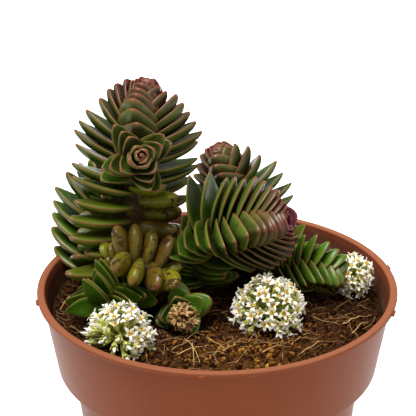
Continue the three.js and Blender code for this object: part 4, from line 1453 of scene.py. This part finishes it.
# Uses of the materials in a head: 0 petals, 1 calyx and stalk, 2 pollen
def addFloret(gather, head, direction, key):
    look = floretLook
    dried = head.get("dried", False)
    centre = np.array(head["centre"])
    reach = head["radius"] * (0.87 + 0.2 * draw(key))
    helper = np.array([0.0, 0.0, 1.0]) if abs(direction[2]) < 0.9 else np.array([1.0, 0.0, 0.0])
    side = unit(np.cross(helper, direction))
    front = np.cross(direction, side)
    lean = look["lean"] * ((draw(key + 0.41) - 0.5) * side + (draw(key + 0.52) - 0.5) * front)
    closed = inBud(head, direction, key)
    fatness = look["budFatness"] if closed else 1
    heart = centre + direction * (reach - look["sunk"][closed])
    direction = unit(direction + lean)
    side = unit(np.cross(front, direction))
    front = np.cross(direction, side)
    neck = [centre + 0.3 * (heart - centre), *(heart - direction * below for below in look["neck"])]
    gather.add(tube(neck, np.array(look["neckRadii"]) * fatness, 7), 1, along=0.5)
    start = 6.28 * draw(key + 0.5)
    sepalLength, sepalWidth, sepalDepth = look["sepal"]
    sepalBelow, sepalOut = look["sepalPlace"]
    for i in range(look["petals"]):
        angle = start + i * 2 * math.pi / look["petals"]
        halfway = angle + math.pi / look["petals"]
        out = side * math.cos(angle) + front * math.sin(angle)
        between = side * math.cos(halfway) + front * math.sin(halfway)
        sepal = petalRings(
            heart - direction * sepalBelow + between * sepalOut * fatness, direction, between,
            sepalLength * fatness**0.5, sepalWidth * fatness, sepalDepth,
            look["sepalBend"], look["sepalWidths"],
        )
        gather.add(sepal, 1, along=0.5)
        sway = draw(key + i * 0.13 + 0.7)
        foot, tip = look["bud"] if closed else look["open"]
        foot += look["sway"][0] * (sway - 0.5)
        tip += look["sway"][1] * (sway - 0.6) * (not closed)
        width = look["petalWidth"]
        length = head["petal"] * (0.85 + 0.3 * draw(key + i * 0.31))
        if dried:
            most, least, play = look["curled"]
            foot, tip = most * sway, least + play * draw(key + i * 0.37)
            width *= look["driedNarrower"]
        petal = petalRings(
            heart + out * look["petalFoot"], direction, out, length, width, look["petalDepth"],
            (foot, tip), look["petalWidths"],
        )
        gather.add(petal, 0, along=np.linspace(0, 1, len(petal))[:, None])
        if not closed and not dried:
            middle = heart + between * (0.45 + 0.25 * sway) + direction * (0.9 + 0.5 * sway)
            stations = [middle + direction * above for above in look["anther"]]
            gather.add(tube(stations, look["antherRadii"], 6), 2, along=0.5)


# Florets that would stand in the soil or through the pot's wall are left out
def hasRoom(tip):
    overSoil = tip[2] > soilHeight(tip[0], tip[1]) + 0.3
    inside = math.hypot(tip[0], tip[1]) < wallRadius(pot["height"] - 4) - 1
    return overSoil and (inside or tip[2] > pot["height"] + 1)


def makeHead(name, head, index, materials):
    axis = unit(np.array(head["axis"], float))
    side = unit(np.cross(np.array([0.0, 0.0, 1.0]), axis))
    front = np.cross(axis, side)
    low = math.cos(math.radians(head["spread"]))
    centre = np.array(head["centre"], float)
    gather = Gather()
    halfway = tuple((centre + np.array(head["stalk"])) / 2)
    stalk = smoothPath([head["stalk"], halfway, head["centre"]], 4)[0]
    gather.add(tube(stalk, 0.09 * head["radius"] + 0.5, 10), 1, along=0.5)
    count = 0
    for i in range(head["florets"]):
        key = 50 * index + i * 1.7
        height = 1 - (i + 0.5) / head["florets"] * (1 - low)
        around = i * math.pi * (3 - math.sqrt(5))    # the golden angle spaces them evenly
        flat = math.sqrt(1 - height * height)
        direction = axis * height + flat * (side * math.cos(around) + front * math.sin(around))
        play = np.array([draw(key + 0.11), draw(key + 0.22), draw(key + 0.33)]) - 0.5
        direction = unit(direction + floretLook["scatter"] * play)
        if hasRoom(centre + direction * head["radius"]):
            addFloret(gather, head, direction, key)
            count += 1
    mesh = gather.mesh(name + "_florets", materials)
    addPiece(name + "_florets", mesh, "dried_floret" if head.get("dried") else "floret", name)
    return count, len(mesh.polygons)


def makeHeads():
    look = floretLook
    calyx = mottledMaterial("limeCalyx", look["calyxShade"], look["calyx"], 1.5, 0.5)
    pollen = mottledMaterial("yellowPollen", look["pollenShade"], look["pollen"], 0.5, 0.8)
    fresh = [petalMaterial(), calyx, pollen]
    dried = [
        mottledMaterial("witheredPetal", look["witheredShade"], look["withered"], 2.0, 0.75),
        mottledMaterial("witheredCalyx", look["witheredCalyxShade"], look["witheredCalyx"], 1.2, 0.8),
    ]
    for index, (name, head) in enumerate(heads.items()):
        materials = dried if head.get("dried") else fresh
        print(name, "florets, faces", makeHead(name, head, index, materials))


makeHeads()


# A plain pale studio: paper floor, soft daylight all round, and three soft lamps
studio = {
    "floor": 6000,
    "floorColor": "#f4f3f1",
    "world": 0.2,
    "lamps": {
        "key": {
            "place": (-220, -210, 940), "size": 480, "power": 13.0, "aim": (0, 0, 110), "spread": 180,
        },
        "fill": {
            "place": (560, -520, 460), "size": 700, "power": 2.0, "aim": (0, 0, 110), "spread": 180,
        },
        "backdrop": {
            "place": (0, 950, 760), "size": 1100, "power": 12.0, "aim": (0, 760, 0), "spread": 104,
        },
    },
}


# Matte seamless paper: nearly white, with no shine
def floorMaterial():
    material, tree = startMaterial("mattePaperSweep")
    place = addNode(tree, "ShaderNodeTexCoord").outputs["Object"]
    fibre = addNode(tree, "ShaderNodeTexNoise", {"Scale": perSize(1.5), "Detail": 3.0}, {"Vector": place})
    bump = addNode(
        tree, "ShaderNodeBump", {"Strength": 0.05, "Distance": 0.1 * mm}, {"Height": fibre.outputs["Fac"]},
    )
    shader = addNode(
        tree, "ShaderNodeBsdfPrincipled",
        {"Base Color": hexColor(studio["floorColor"]), "Roughness": 0.9, "Specular IOR Level": 0.2},
        {"Normal": bump.outputs[0]},
    )
    addNode(tree, "ShaderNodeOutputMaterial", links={"Surface": shader.outputs[0]})
    return material


def addLamp(name, lamp):
    data = bpy.data.lights.new(name, "AREA")
    data.size = lamp["size"] * mm
    data.energy = lamp["power"]
    data.spread = math.radians(lamp["spread"])
    light = bpy.data.objects.new(name, data)
    light.visible_glossy = name != "backdrop"    # it lights the paper only, and doesn't grey the leaves
    bpy.context.scene.collection.objects.link(light)
    light.location = Vector(lamp["place"]) * mm
    aim = Vector(lamp["aim"]) * mm - light.location
    light.rotation_euler = aim.to_track_quat("-Z", "Y").to_euler()


def makeStudio():
    half = studio["floor"] / 2
    corners = [(-half, -half, 0), (half, -half, 0), (half, half, 0), (-half, half, 0)]
    face = np.array([[0, 1, 2, 3]])
    mesh = buildMesh("floor", corners, [face], materials=[floorMaterial()], smooth=False)
    floor = bpy.data.objects.new("floor", mesh)
    bpy.context.scene.collection.objects.link(floor)
    world = bpy.data.worlds.new("softRoom")
    world.use_nodes = True
    background = world.node_tree.nodes["Background"]
    background.inputs["Color"].default_value = (1, 1, 1, 1)
    background.inputs["Strength"].default_value = studio["world"]
    bpy.context.scene.world = world
    for name, lamp in studio["lamps"].items():
        addLamp(name, lamp)
    bpy.context.scene.view_settings.view_transform = "Standard"


makeStudio()
print("studio set")
